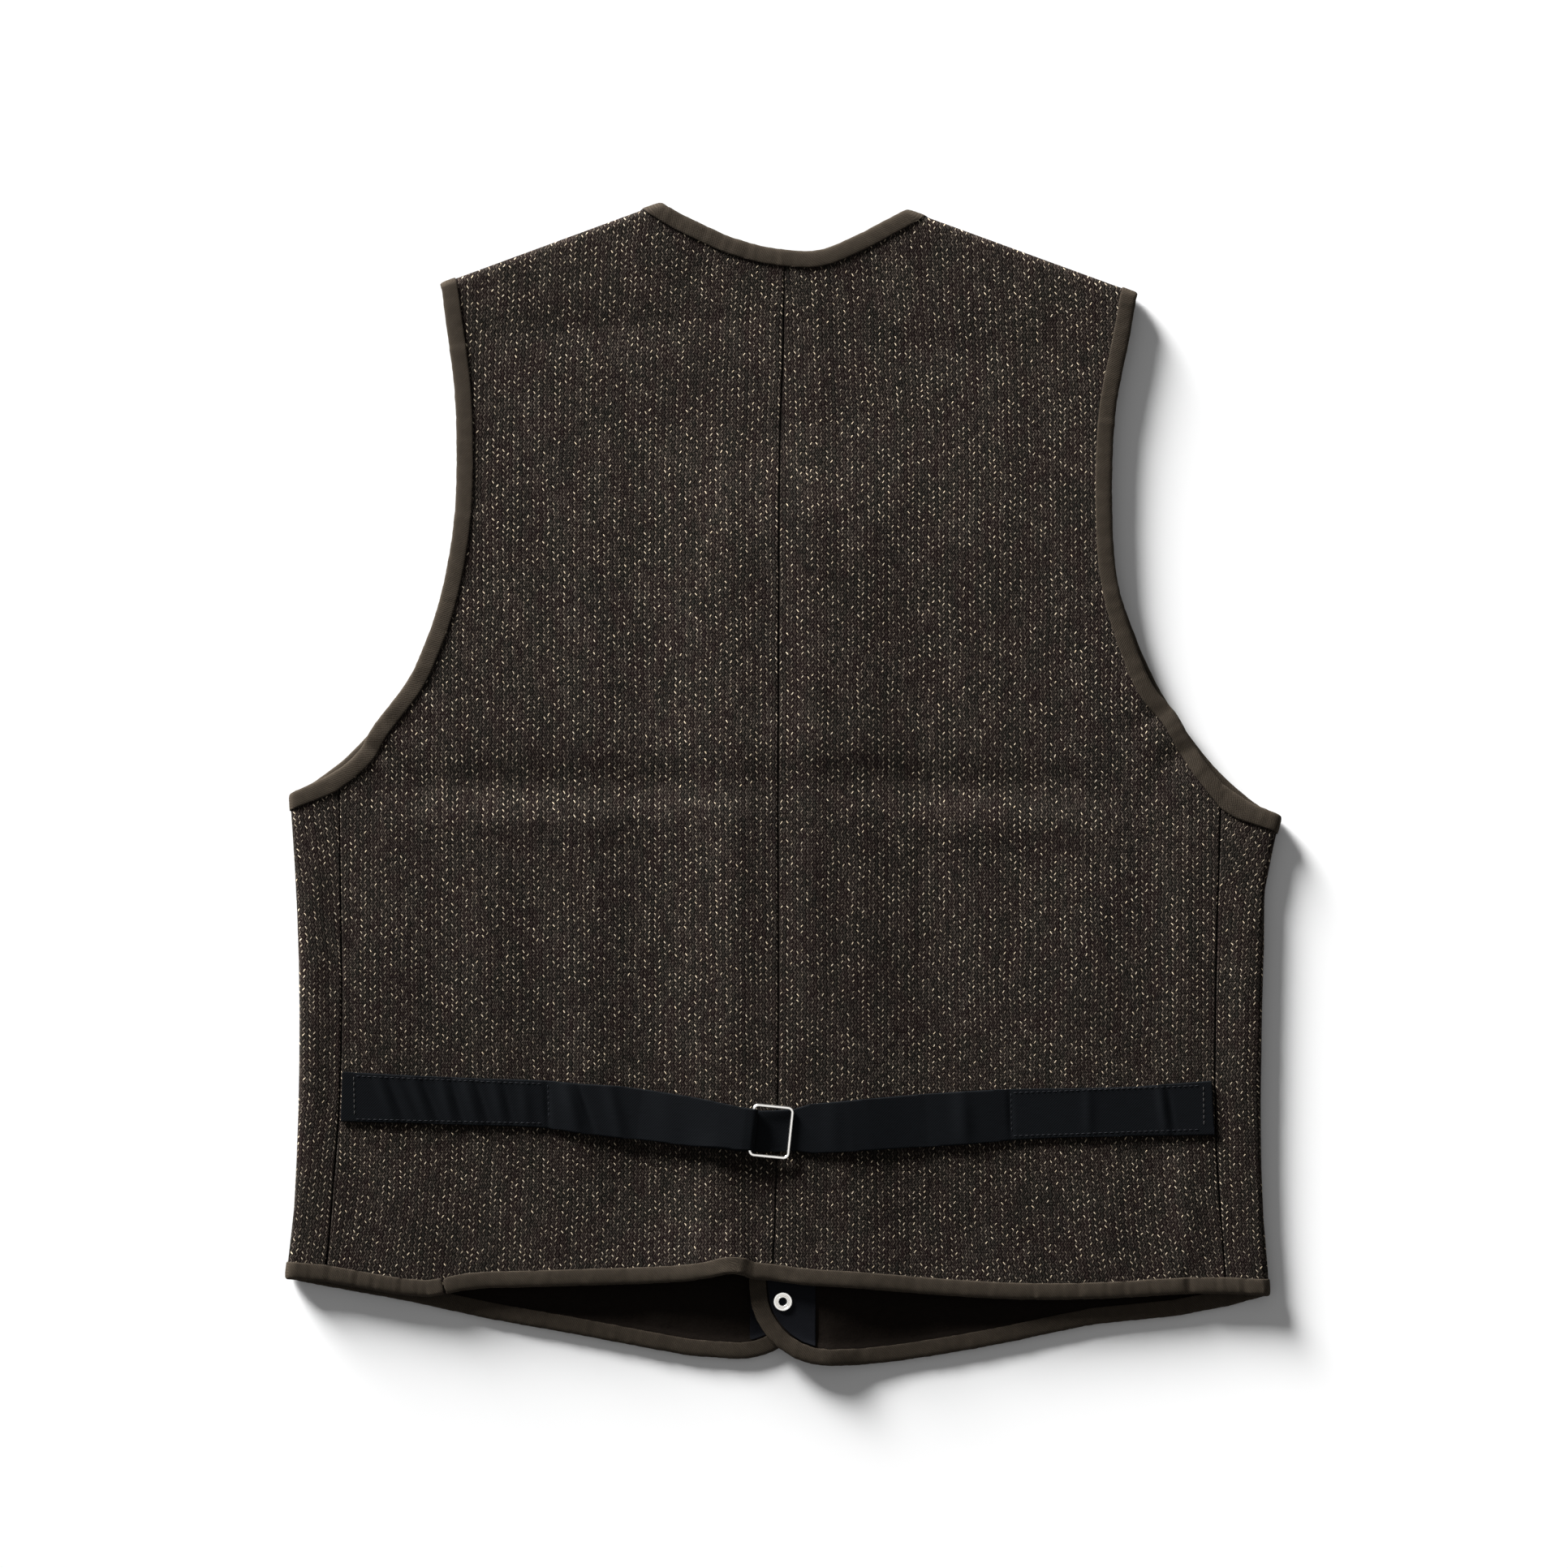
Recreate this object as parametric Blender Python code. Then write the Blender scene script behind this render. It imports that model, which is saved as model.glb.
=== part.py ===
"""Work vest, laid flat on its front with its back upwards.

Every cloth piece is cut flat and then laid down. A panel has an outline in flat
millimetres, and a lay function gives the place where each flat point comes to
rest: the fronts roll round the side edges onto the back, and fronts and backs
roll together at the shoulders. The vest is scaled to metres as meshes are made.

X runs across the vest (the wearer's left is -X), Y runs up to the neck, and Z
rises from the surface that the vest lies on.
"""
import bpy
import numpy as np
from math import ceil, cos, pi, radians, sin, tau
from mathutils import Vector
from mathutils.geometry import delaunay_2d_cdt

MM = 0.001

# ---- Cloth, tape and webbing (mm) ----
WALL = 2.0            # knitted cloth
GAP = 0.3             # clearance between neighbouring pieces
TAPE = 0.5            # one layer of binding tape
BIND_WIDTH = 8.8      # finished width of the binding
TAPE_BEVEL = 1.2      # the tape rounds over its edge in this far
TAPE_DROP = 0.9       # and falls this much on each side
FACING = 0.6          # woven strip behind the snaps
FACING_WIDTH = 34.0   # from the front edge to the strip's inner side
STRAP = 1.2           # webbing thickness
SEWN_REST = 0.1       # sewn webbing stands this much more than a gap off the cloth

# ---- How the layers rest (heights of a wall's middle, mm) ----
LOW = WALL / 2                         # cloth on the floor
BIND_HALF = WALL / 2 + GAP + TAPE      # half a binding's thickness
LEVEL_IN = 9.2                         # the cloth lies level this far in from a bound edge
DOWN_IN = 11.2                         # and has sunk to the floor here
ROLL = 2.4                             # radius of the folded side edges
SHOULDER_ROLL = ROLL - GAP / 2         # radius of the turned shoulders, to the seam
ROLL_EASE = 8.0                        # cloth lifts off the floor this far before a roll
TOP = BIND_HALF + 2 * ROLL             # upper layer
OVERLAP_LIFT = 4.6                     # right front over the left front
RIDGE = 3.8                            # back over the overlapped fronts
RIDGE_FLAT, RIDGE_FOOT = 30.0, 80.0    # half widths of the ridge's top and foot
RIDGE_FULL_Y, RIDGE_END_Y = 130.0, 185.0
OVERLAP_NEAR, OVERLAP_FAR = 20.0, 50.0
OVERLAP_FULL_Y, OVERLAP_END_Y = 128.0, 165.0

# ---- Spacing of the points that shape the cloth (mm) ----
EDGE_STEP = 15.0
SEAM_STEP = 28.0
STRAIGHT_STEP = 52.0
CLOTH_STEP = 25.0
FINE_STEP = 10.0
ROW_SHARE = 0.87      # height of a row of even triangles, for a side of 1
CLEAR_SHARE = 0.4     # loose points keep this share of their spacing off a line
MERGE_WITHIN = 0.02   # flat points closer than this become one
OVERRUN = 4.0         # a facing's line starts this far past the hem before it is trimmed
ROLL_STEPS = 5        # facets round a side roll
SHOULDER_STEPS = 3    # facets of each shoulder roll, which is a quarter turn

SIGN = {"left": -1.0, "right": 1.0}

# The neck edges cross the shoulder at a slant, and their tape is as much wider along it.
NECK_SLANT = 0.76
NECK_SPREAD = 1.24

# ---- Finished outline of the laid vest: place, across, up (mm) ----
NECK_POINT = {"left": (-63.1, 298.8), "right": (62.6, 295.4)}
SHOULDER_TIP = {"left": (-176.6, 257.1), "right": (181.2, 252.2)}

NECK = {
    "left": (
        ("bend", -53.2, 293.1),
        ("slope", -43.2, 288.2),
        ("turn", -27.6, 281.0),
        ("hollow", -11.0, 276.2),
        ("centre", 0.2, 274.6),
    ),
    "right": (
        ("bend", 51.6, 289.8),
        ("rise", 38.8, 282.8),
        ("turn", 22.2, 275.4),
        ("dip", 13.9, 273.6),
        ("centre", 0.2, 274.6),
    ),
}

CENTRE_SEAM = (
    ("neck", 0.2, 274.6),
    ("yoke", -0.4, 223.5),
    ("shoulder blades", -1.9, 182.0),
    ("chest", -2.7, 111.4),
    ("underarm", -3.1, -13.0),
    ("waist", -2.9, -116.8),
    ("strap", -3.9, -199.8),
    ("hem", -6.0, -252.9),
)

# From the side seam up to the shoulder, along the outer edge of the binding.
BACK_ARMHOLE = {
    "left": (
        ("side seam", -228.1, 8.9),
        ("underarm", -222.4, 13.0),
        ("turn", -216.8, 19.0),
        ("rise", -211.9, 29.0),
        ("curve", -203.6, 39.8),
        ("wrinkle", -194.5, 51.0),
        ("curve up", -185.3, 69.9),
        ("chest", -177.8, 90.7),
        ("chest high", -172.9, 111.4),
        ("narrow", -168.7, 140.5),
        ("narrowest", -167.9, 169.5),
        ("blade", -169.1, 204.8),
        ("cap", -173.2, 235.9),
    ),
    "right": (
        ("side seam", 223.9, 1.5),
        ("underarm", 216.6, 10.6),
        ("rise", 208.4, 23.6),
        ("curve", 200.4, 37.8),
        ("wrinkle", 190.0, 49.0),
        ("curve up", 180.7, 69.9),
        ("chest", 173.7, 90.7),
        ("chest high", 169.5, 111.4),
        ("narrow", 167.9, 140.5),
        ("narrowest", 167.9, 163.3),
        ("blade", 169.9, 194.4),
        ("cap", 177.4, 232.5),
    ),
}

# From the side fold up to the shoulder, cut deeper than the back.
FRONT_ARMHOLE = {
    "left": (
        ("underarm", -240.0, 3.0),
        ("turn", -226.0, 13.0),
        ("curve", -209.0, 31.0),
        ("curve up", -191.0, 58.0),
        ("chest", -176.5, 90.0),
        ("chest high", -166.0, 125.0),
        ("narrow", -161.0, 160.0),
        ("blade", -162.0, 200.0),
        ("cap", -170.0, 236.0),
    ),
    "right": (
        ("underarm", 240.0, -8.0),
        ("turn", 226.0, 4.0),
        ("curve", 209.0, 24.0),
        ("curve up", 191.0, 52.0),
        ("chest", 176.5, 86.0),
        ("chest high", 166.0, 121.0),
        ("narrow", 161.0, 156.0),
        ("blade", 162.5, 196.0),
        ("cap", 173.0, 231.0),
    ),
}

# Side seam on the back, from the hem up to the armhole.
SIDE_SEAM = {
    "left": (
        ("hem", -235.1, -253.8),
        ("hem flare", -233.0, -234.0),
        ("below strap", -230.4, -200.0),
        ("strap", -228.1, -172.8),
        ("above strap", -226.8, -137.6),
        ("waist", -226.4, -96.1),
        ("chest", -227.2, -46.3),
        ("armhole", -228.1, 8.9),
    ),
    "right": (
        ("hem", 226.4, -260.0),
        ("hem flare", 224.7, -237.2),
        ("below strap", 222.2, -201.9),
        ("strap", 220.6, -174.9),
        ("waist", 220.6, -129.3),
        ("chest", 221.8, -62.9),
        ("upper chest", 223.2, -23.0),
        ("armhole", 223.9, 1.5),
    ),
}

# Half width of the vest at its folded sides: place, up, across (mm).
SIDE_FOLD = {
    "left": (
        ("below hem", -275.0, 256.0),
        ("hem", -250.0, 255.6),
        ("hem flare", -231.0, 252.7),
        ("below strap", -200.0, 250.6),
        ("waist", -150.0, 248.9),
        ("rib", -96.0, 248.9),
        ("chest", -50.0, 250.6),
        ("underarm", -5.0, 253.6),
        ("above", 20.0, 255.5),
    ),
    "right": (
        ("below hem", -280.0, 249.0),
        ("hem", -258.0, 248.6),
        ("hem flare", -225.0, 245.9),
        ("below strap", -179.0, 244.3),
        ("waist", -137.6, 244.6),
        ("rib", -80.0, 246.0),
        ("chest", -40.0, 247.9),
        ("below arm", -28.0, 251.3),
        ("underarm", -8.0, 256.9),
        ("above", 20.0, 264.7),
    ),
}

# Back hem from the centre seam out to the side seam. The tape is joined on the left.
TAPE_JOIN = ("tape join", -173.7, -260.2)
BACK_HEM = {
    "left": (
        ("centre seam", -6.0, -252.9),
        ("beside pinch", -17.0, -252.0),
        ("pinch", -23.4, -249.2),
        ("curl", -29.0, -248.9),
        ("curl end", -36.5, -251.2),
        ("opening", -60.8, -254.2),
        ("opening", -94.0, -255.4),
        ("opening", -135.5, -256.7),
        ("opening end", -162.5, -257.9),
        TAPE_JOIN,
        ("tape end", -182.4, -261.6),
        ("low", -193.6, -260.8),
        ("rise", -214.4, -257.5),
        ("side seam", -235.1, -253.8),
    ),
    "right": (
        ("centre seam", -6.0, -252.9),
        ("opening", 5.6, -254.8),
        ("opening", 30.5, -256.3),
        ("fall", 80.3, -260.6),
        ("low", 121.8, -262.9),
        ("low", 150.9, -262.9),
        ("rise", 179.9, -261.7),
        ("wrinkle", 204.8, -260.2),
        ("side seam", 226.4, -260.0),
    ),
}

# Bound edges of the part of each front that has come round onto the back.
SIDE_HEM = {
    "left": (("side seam", -235.1, -253.8), ("fold", -251.2, -252.3)),
    "right": (("side seam", 226.4, -260.0), ("fold", 245.4, -261.0)),
}
SIDE_ARMHOLE = {
    "left": (("side seam", -228.1, 8.9), ("slope", -236.0, 4.0), ("fold", -250.4, -2.4)),
    "right": (("side seam", 223.9, 1.5), ("slope", 238.0, -8.4), ("fold", 251.6, -13.8)),
}

# Front edges, from the neck down. The lower corner is an arc.
V_NECK = {
    "left": (
        ("upper", -58.0, 262.0),
        ("middle", -38.5, 205.0),
        ("lower", -9.0, 128.0),
        ("foot", 12.0, 84.0),
        ("edge", 16.4, 62.0),
    ),
    "right": (
        ("upper", 59.5, 258.0),
        ("middle", 38.5, 201.0),
        ("lower", 8.0, 125.0),
        ("foot", -13.6, 82.0),
        ("edge", -18.1, 60.0),
    ),
}
FRONT_CORNER_RADIUS = {"left": 39.0, "right": 41.0}
CORNER_STEPS = 7
FRONT_LOW = {"left": -294.2, "right": -297.1}
FRONT_HEM = {
    "left": (
        ("corner", -22.6, -294.2),
        ("low", -48.3, -292.4),
        ("rise", -69.1, -288.6),
        ("rise", -110.6, -280.7),
        ("slope", -152.1, -273.3),
        ("slope", -193.6, -264.2),
        ("side", -235.1, -256.7),
        ("fold", -251.2, -253.4),
    ),
    "right": (
        ("corner", 22.9, -297.1),
        ("low", 40.0, -296.9),
        ("rise", 76.2, -292.4),
        ("rise", 117.7, -284.9),
        ("turn", 159.2, -276.2),
        ("slope", 200.7, -272.0),
        ("slope", 228.0, -266.8),
        ("fold", 245.4, -262.0),
    ),
}
FRONT_ARMHOLE_FOLD = {"left": ("fold", -250.4, -3.8), "right": ("fold", 251.6, -14.9)}
UNDERARM_SAG = {"left": 1.0, "right": 1.2}

# Soft folds of the back: place, across, up, reach across, reach up, rise (mm).
BACK_FOLDS = (
    ("hem pinch", -26.0, -244.5, 9.0, 24.0, 3.2),
    ("left opening", -100.0, -262.0, 45.0, 34.0, 1.2),
    ("right opening", 70.0, -266.0, 50.0, 34.0, 1.4),
    ("left shoulder blade", -95.0, 150.0, 38.0, 60.0, 0.8),
    ("right shoulder blade", 92.0, 120.0, 40.0, 66.0, 0.7),
)
PINCH_REACH = 30.0    # finer points lie this close to the hem pinch

# ---- Cinch strap: place, across, up, height of its middle above the cloth's, width (mm) ----
ON_CLOTH = WALL / 2 + GAP + SEWN_REST + STRAP / 2
STRAP_LEFT = (
    ("side seam", -226.6, -158.9, ON_CLOTH, 25.6),
    ("ripples", -190.0, -160.3, ON_CLOTH, 24.5),
    ("ripples", -155.0, -161.6, ON_CLOTH, 24.2),
    ("last stitch", -120.6, -162.9, ON_CLOTH, 24.4),
    ("first fold", -104.0, -164.8, 2.9, 25.4),
    ("second fold", -86.0, -166.4, 3.4, 26.6),
    ("free", -62.0, -169.2, 4.7, 25.6),
    ("over the tail", -46.0, -171.4, 5.0, 25.0),
    ("over the turned end", -34.0, -172.8, 5.7, 24.6),
)
STRAP_RIGHT = (
    ("side seam", 219.4, -164.6, ON_CLOTH, 27.8),
    ("last ripple", 199.0, -165.6, ON_CLOTH, 26.8),
    ("stitching", 180.0, -166.4, ON_CLOTH, 25.4),
    ("stitching", 146.0, -167.2, ON_CLOTH, 25.2),
    ("first stitch", 115.0, -168.1, ON_CLOTH, 26.4),
    ("free", 93.6, -169.6, 2.5, 27.4),
    ("free", 62.0, -171.6, 2.7, 27.0),
    ("free", 34.0, -173.6, 2.5, 26.2),
    ("beside the bar", 14.0, -175.0, 2.2, 25.4),
    ("under the bar", 5.6, -175.6, ON_CLOTH, 21.4),
    ("window", -12.0, -176.4, ON_CLOTH, 21.4),
    ("tail", -44.0, -173.2, ON_CLOTH, 21.4),
)
STRAP_STEP = 12.0

# ---- Wire buckle (mm) ----
WIRE = 0.85                     # wire radius
BUCKLE_CENTRE = (-6.8, -176.2)
BUCKLE_SPAN = 19.8              # between the middles of the side bars
BUCKLE_HEIGHT = 25.6            # between the middles of the top and bottom bars
BUCKLE_CORNER = 2.2
BUCKLE_TURN = radians(-6.0)
WIRE_SIDES = 2                  # bevel resolution, eight sides
LOOP_WIDTH = 21.4               # webbing where it passes through the buckle
BESIDE_BAR = 4.0                # and it has narrowed to this this far off the bar
TURNED_END = 18.0               # length of the end turned back under the strap
LOOP_STEPS = 6

# ---- Snap fasteners (mm) ----
SNAP_X = -0.8
SNAP_TOP_Y, SNAP_LOW_Y = 70.0, -263.8
SNAP_COUNT = 5
CAP_RADIUS, CAP_HEIGHT = 5.6, 0.8
SOCKET_RADIUS, SOCKET_HEIGHT = 4.0, 1.1
RING_RADIUS, RING_HOLE, RING_HEIGHT = 4.9, 1.8, 0.8
RING_BEVEL, RING_LIP = 0.7, 0.8
ROUND_SIDES = 12

# ---- Colours: base colour, roughness, metallic ----
FINISHES = {
    "knit": ((0.075, 0.066, 0.060), 0.95, 0.0),
    "tape": ((0.066, 0.056, 0.045), 0.85, 0.0),
    "facing": ((0.012, 0.015, 0.020), 0.80, 0.0),
    "webbing": ((0.010, 0.012, 0.017), 0.80, 0.0),
    "nickel": ((0.80, 0.79, 0.76), 0.25, 1.0),
}


# ---------------------------------------------------------------- lines

def smooth_line(rows, step):
    """Points along a smooth curve through a table's places, the places among them."""
    places = np.array([row[1:3] for row in rows], float)
    chords = np.diff(places, axis=0)
    lengths = np.linalg.norm(chords, axis=1)
    slopes = chords / lengths[:, None]
    tangents = np.empty_like(places)
    tangents[0], tangents[-1] = slopes[0], slopes[-1]
    before, after = lengths[:-1, None], lengths[1:, None]
    tangents[1:-1] = (slopes[:-1] * after + slopes[1:] * before) / (before + after)
    points = [places[0]]
    for start, end, t0, t1, length in zip(places, places[1:], tangents, tangents[1:], lengths):
        for part in np.linspace(0, 1, max(1, ceil(length / step - 0.3)) + 1)[1:]:
            a = 2 * part**3 - 3 * part**2 + 1
            b = part**3 - 2 * part**2 + part
            c = -2 * part**3 + 3 * part**2
            d = part**3 - part**2
            points.append(a * start + b * length * t0 + c * end + d * length * t1)
    return np.array(points)


def ramp(value, full, none):
    """1 up to full, 0 beyond none, smooth between."""
    t = np.clip((none - value) / (none - full), 0, 1)
    return t * t * (3 - 2 * t)


def shoulder_frame(side):
    """Direction along the shoulder from tip to neck, and outwards across it."""
    along = np.subtract(NECK_POINT[side], SHOULDER_TIP[side])
    along /= np.linalg.norm(along)
    outward = np.array([-along[1], along[0]])
    return along, outward * np.sign(outward[1])


def roll_start(side, corner):
    """Where an edge that ends at a shoulder corner begins to roll over."""
    return np.asarray(corner[side]) - shoulder_frame(side)[1] * (WALL / 2 + SHOULDER_ROLL)


def shoulder_stations(side, corner, slant=0.0):
    """Flat points of an edge as it crosses the shoulder roll, to the seam."""
    along, across = shoulder_frame(side)
    reach = np.linspace(0, SHOULDER_ROLL * pi / 2, SHOULDER_STEPS + 1)
    left = slant * (reach[-1] - reach)
    reach[-1] += GAP / 2
    return roll_start(side, corner) + across * reach[:, None] + along * left[:, None]


def fold_start(side, up):
    """Half width at which a front begins to roll round the side."""
    rows = smooth_line([(name, y, x) for name, y, x in SIDE_FOLD[side]], EDGE_STEP)
    return np.interp(up, rows[:, 0], rows[:, 1]) - WALL / 2 - ROLL


def unfold(side, laid):
    """Flat points of a front for laid points of its part on the back."""
    laid = np.asarray(laid, float)
    start = fold_start(side, laid[:, 1])
    out = start + pi * ROLL + (start - SIGN[side] * laid[:, 0])
    return np.column_stack([SIGN[side] * out, laid[:, 1]])


def fold_stations(side, under, above, sag):
    """Flat points of an edge as it goes round the side roll, from under to above."""
    parts = np.linspace(0, 1, ROLL_STEPS + 1)
    up = under[1] + (above[1] - under[1]) * parts - sag * np.sin(pi * parts)
    out = fold_start(side, up) + pi * ROLL * parts
    return np.column_stack([SIGN[side] * out, up])


def roll_direction(side, stations, way):
    """Direction along the side roll, up or down, for one step across the binding."""
    start = stations[:, 1].mean()
    step = fold_start(side, start + way * LEVEL_IN) - fold_start(side, start)
    return np.array([SIGN[side] * step / LEVEL_IN, way])


def corner_arc(side, low):
    """Rounded lower corner of a front, from its edge to its hem."""
    edge = V_NECK[side][-1][1]
    turns = np.linspace(0, pi / 2, CORNER_STEPS + 1)
    radius = FRONT_CORNER_RADIUS[side]
    across = edge + SIGN[side] * radius * (1 - np.cos(turns))
    up = low + radius * (1 - np.sin(turns))
    return np.column_stack([across, up])


# ---------------------------------------------------------------- heights

def back_height(laid):
    """Middle of the upper layer over a laid point."""
    x, y = laid[:, 0], laid[:, 1]
    ridge = ramp(np.abs(x), RIDGE_FLAT, RIDGE_FOOT) * ramp(y, RIDGE_FULL_Y, RIDGE_END_Y)
    height = TOP + RIDGE * ridge
    for _, across, up, reach_x, reach_y, rise in BACK_FOLDS:
        height = height + rise * np.exp(
            -(((x - across) / reach_x) ** 2) - ((y - up) / reach_y) ** 2
        )
    return height


def distance_to_edges(points, starts, ends):
    """Shortest distance from each point to a set of straight edges."""
    run = ends - starts
    rel = points[:, None, :] - starts[None, :, :]
    share = np.clip((rel * run).sum(2) / (run * run).sum(1), 0, 1)
    return np.linalg.norm(rel - share[:, :, None] * run, axis=2).min(axis=1)


# ---------------------------------------------------------------- panels

class Panel:
    """A flat cloth piece: its outline, which edges are bound, and how it is laid."""

    def __init__(self, side, stretches):
        """Each stretch is a name, whether it is bound, and its points to its end."""
        self.side = side
        points, self.names, bound = [], [], []
        for name, is_bound, line in stretches:
            line = np.asarray(line, float)
            points.append(line[:-1])
            self.names += [name] * (len(line) - 1)
            bound += [is_bound] * (len(line) - 1)
        self.points = np.vstack(points)
        self.bound = np.array(bound)
        self._work_out_insets()

    def _work_out_insets(self):
        """Vectors that move each outline point in from bound and from sewn edges."""
        run = np.roll(self.points, -1, axis=0) - self.points
        area = np.cross(self.points, np.roll(self.points, -1, axis=0)).sum()
        inward = np.column_stack([-run[:, 1], run[:, 0]]) * np.sign(area)
        inward /= np.linalg.norm(inward, axis=1)[:, None]
        self.from_bound = np.zeros_like(self.points)
        self.from_sewn = np.zeros_like(self.points)
        for i, normal in enumerate(inward):
            before = inward[i - 1]
            mitre = (before + normal) / (1 + before @ normal)
            if self.bound[i] == self.bound[i - 1]:
                share = self.from_bound if self.bound[i] else self.from_sewn
                share[i] = mitre
                continue
            rows = np.array([before, normal])
            first, second = (1, 0) if self.bound[i - 1] else (0, 1)
            self.from_bound[i] = np.linalg.solve(rows, [first, second])
            self.from_sewn[i] = np.linalg.solve(rows, [second, first])

    def turn_inset(self, stations, vector):
        """Give a run of outline points, found by their places, one inset direction."""
        self.from_bound[self.index_of(stations)] = vector

    def index_of(self, stations):
        """Indices of the outline points at given places."""
        return [int(np.argmin(np.linalg.norm(self.points - s, axis=1))) for s in stations]

    def inset(self, depth):
        """The outline with its bound edges moved in, and half a gap off each seam."""
        return self.points + depth * self.from_bound + GAP / 2 * self.from_sewn

    def run(self, name):
        """Indices of the outline points of a named stretch, in the outline's order."""
        count = len(self.names)
        edges = [i for i in range(count) if self.names[i] == name]
        first = next(i for i in edges if self.names[i - 1] != name)
        return [(first + k) % count for k in range(len(edges) + 1)]

    def edge_distance(self, points):
        ends = np.roll(self.points, -1, axis=0)
        return distance_to_edges(points, self.points[self.bound], ends[self.bound])

    def past_shoulder(self, flat):
        across = shoulder_frame(self.side)[1]
        return (flat - roll_start(self.side, NECK_POINT)) @ across

    def roll_shoulder(self, flat):
        """Laid place of flat points, and how far they have dropped or risen."""
        across = shoulder_frame(self.side)[1]
        past = np.maximum(self.past_shoulder(flat), 0)
        turn = np.minimum(past / SHOULDER_ROLL, pi / 2)
        straight = past - SHOULDER_ROLL * turn
        laid = flat + across * (SHOULDER_ROLL * np.sin(turn) - past)[:, None]
        return laid, SHOULDER_ROLL * (1 - np.cos(turn)) + straight

    def normals(self, flat):
        """Unit normals of the laid middle surface."""
        tiny = 0.05
        step_x, step_y = np.array([tiny, 0]), np.array([0, tiny])
        along_x = self.lay(flat + step_x) - self.lay(flat - step_x)
        along_y = self.lay(flat + step_y) - self.lay(flat - step_y)
        normal = np.cross(along_x, along_y)
        return normal / np.linalg.norm(normal, axis=1)[:, None]


class Back(Panel):
    """One half of the back, from the centre seam to the side seam."""

    outer = 1.0          # its geometric normal points out of the garment
    slant = NECK_SLANT
    rings = (LEVEL_IN,)

    def __init__(self, side):
        armhole_end = shoulder_stations(side, SHOULDER_TIP)
        neck_end = shoulder_stations(side, NECK_POINT, self.slant)
        armhole_rows = BACK_ARMHOLE[side] + (("shoulder", *armhole_end[0]),)
        neck_rows = (("shoulder", *neck_end[0]),) + NECK[side]
        armhole = smooth_line(armhole_rows, EDGE_STEP)
        neck = smooth_line(neck_rows, EDGE_STEP)
        super().__init__(side, (
            ("centre", False, smooth_line(CENTRE_SEAM, SEAM_STEP)),
            ("hem", True, smooth_line(BACK_HEM[side], EDGE_STEP)),
            ("side", False, smooth_line(SIDE_SEAM[side], SEAM_STEP)),
            ("armhole", True, np.vstack([armhole, armhole_end[1:]])),
            ("shoulder", False, spread(armhole_end[-1], neck_end[-1], SEAM_STEP)),
            ("neck", True, np.vstack([neck_end[:0:-1], neck])),
        ))
        along = shoulder_frame(side)[0]
        self.turn_inset(armhole_end, along)
        self.turn_inset(neck_end, -along * NECK_SPREAD)

    def lay(self, flat):
        laid, drop = self.roll_shoulder(flat)
        return np.column_stack([laid, back_height(laid) - drop])

    def fold_lines(self):
        return shoulder_lines(self)

    def fine(self, points):
        """Points that lie near the pinched hem."""
        _, across, up, *_ = BACK_FOLDS[0]
        return np.hypot(points[:, 0] - across, points[:, 1] - up) < PINCH_REACH


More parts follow.
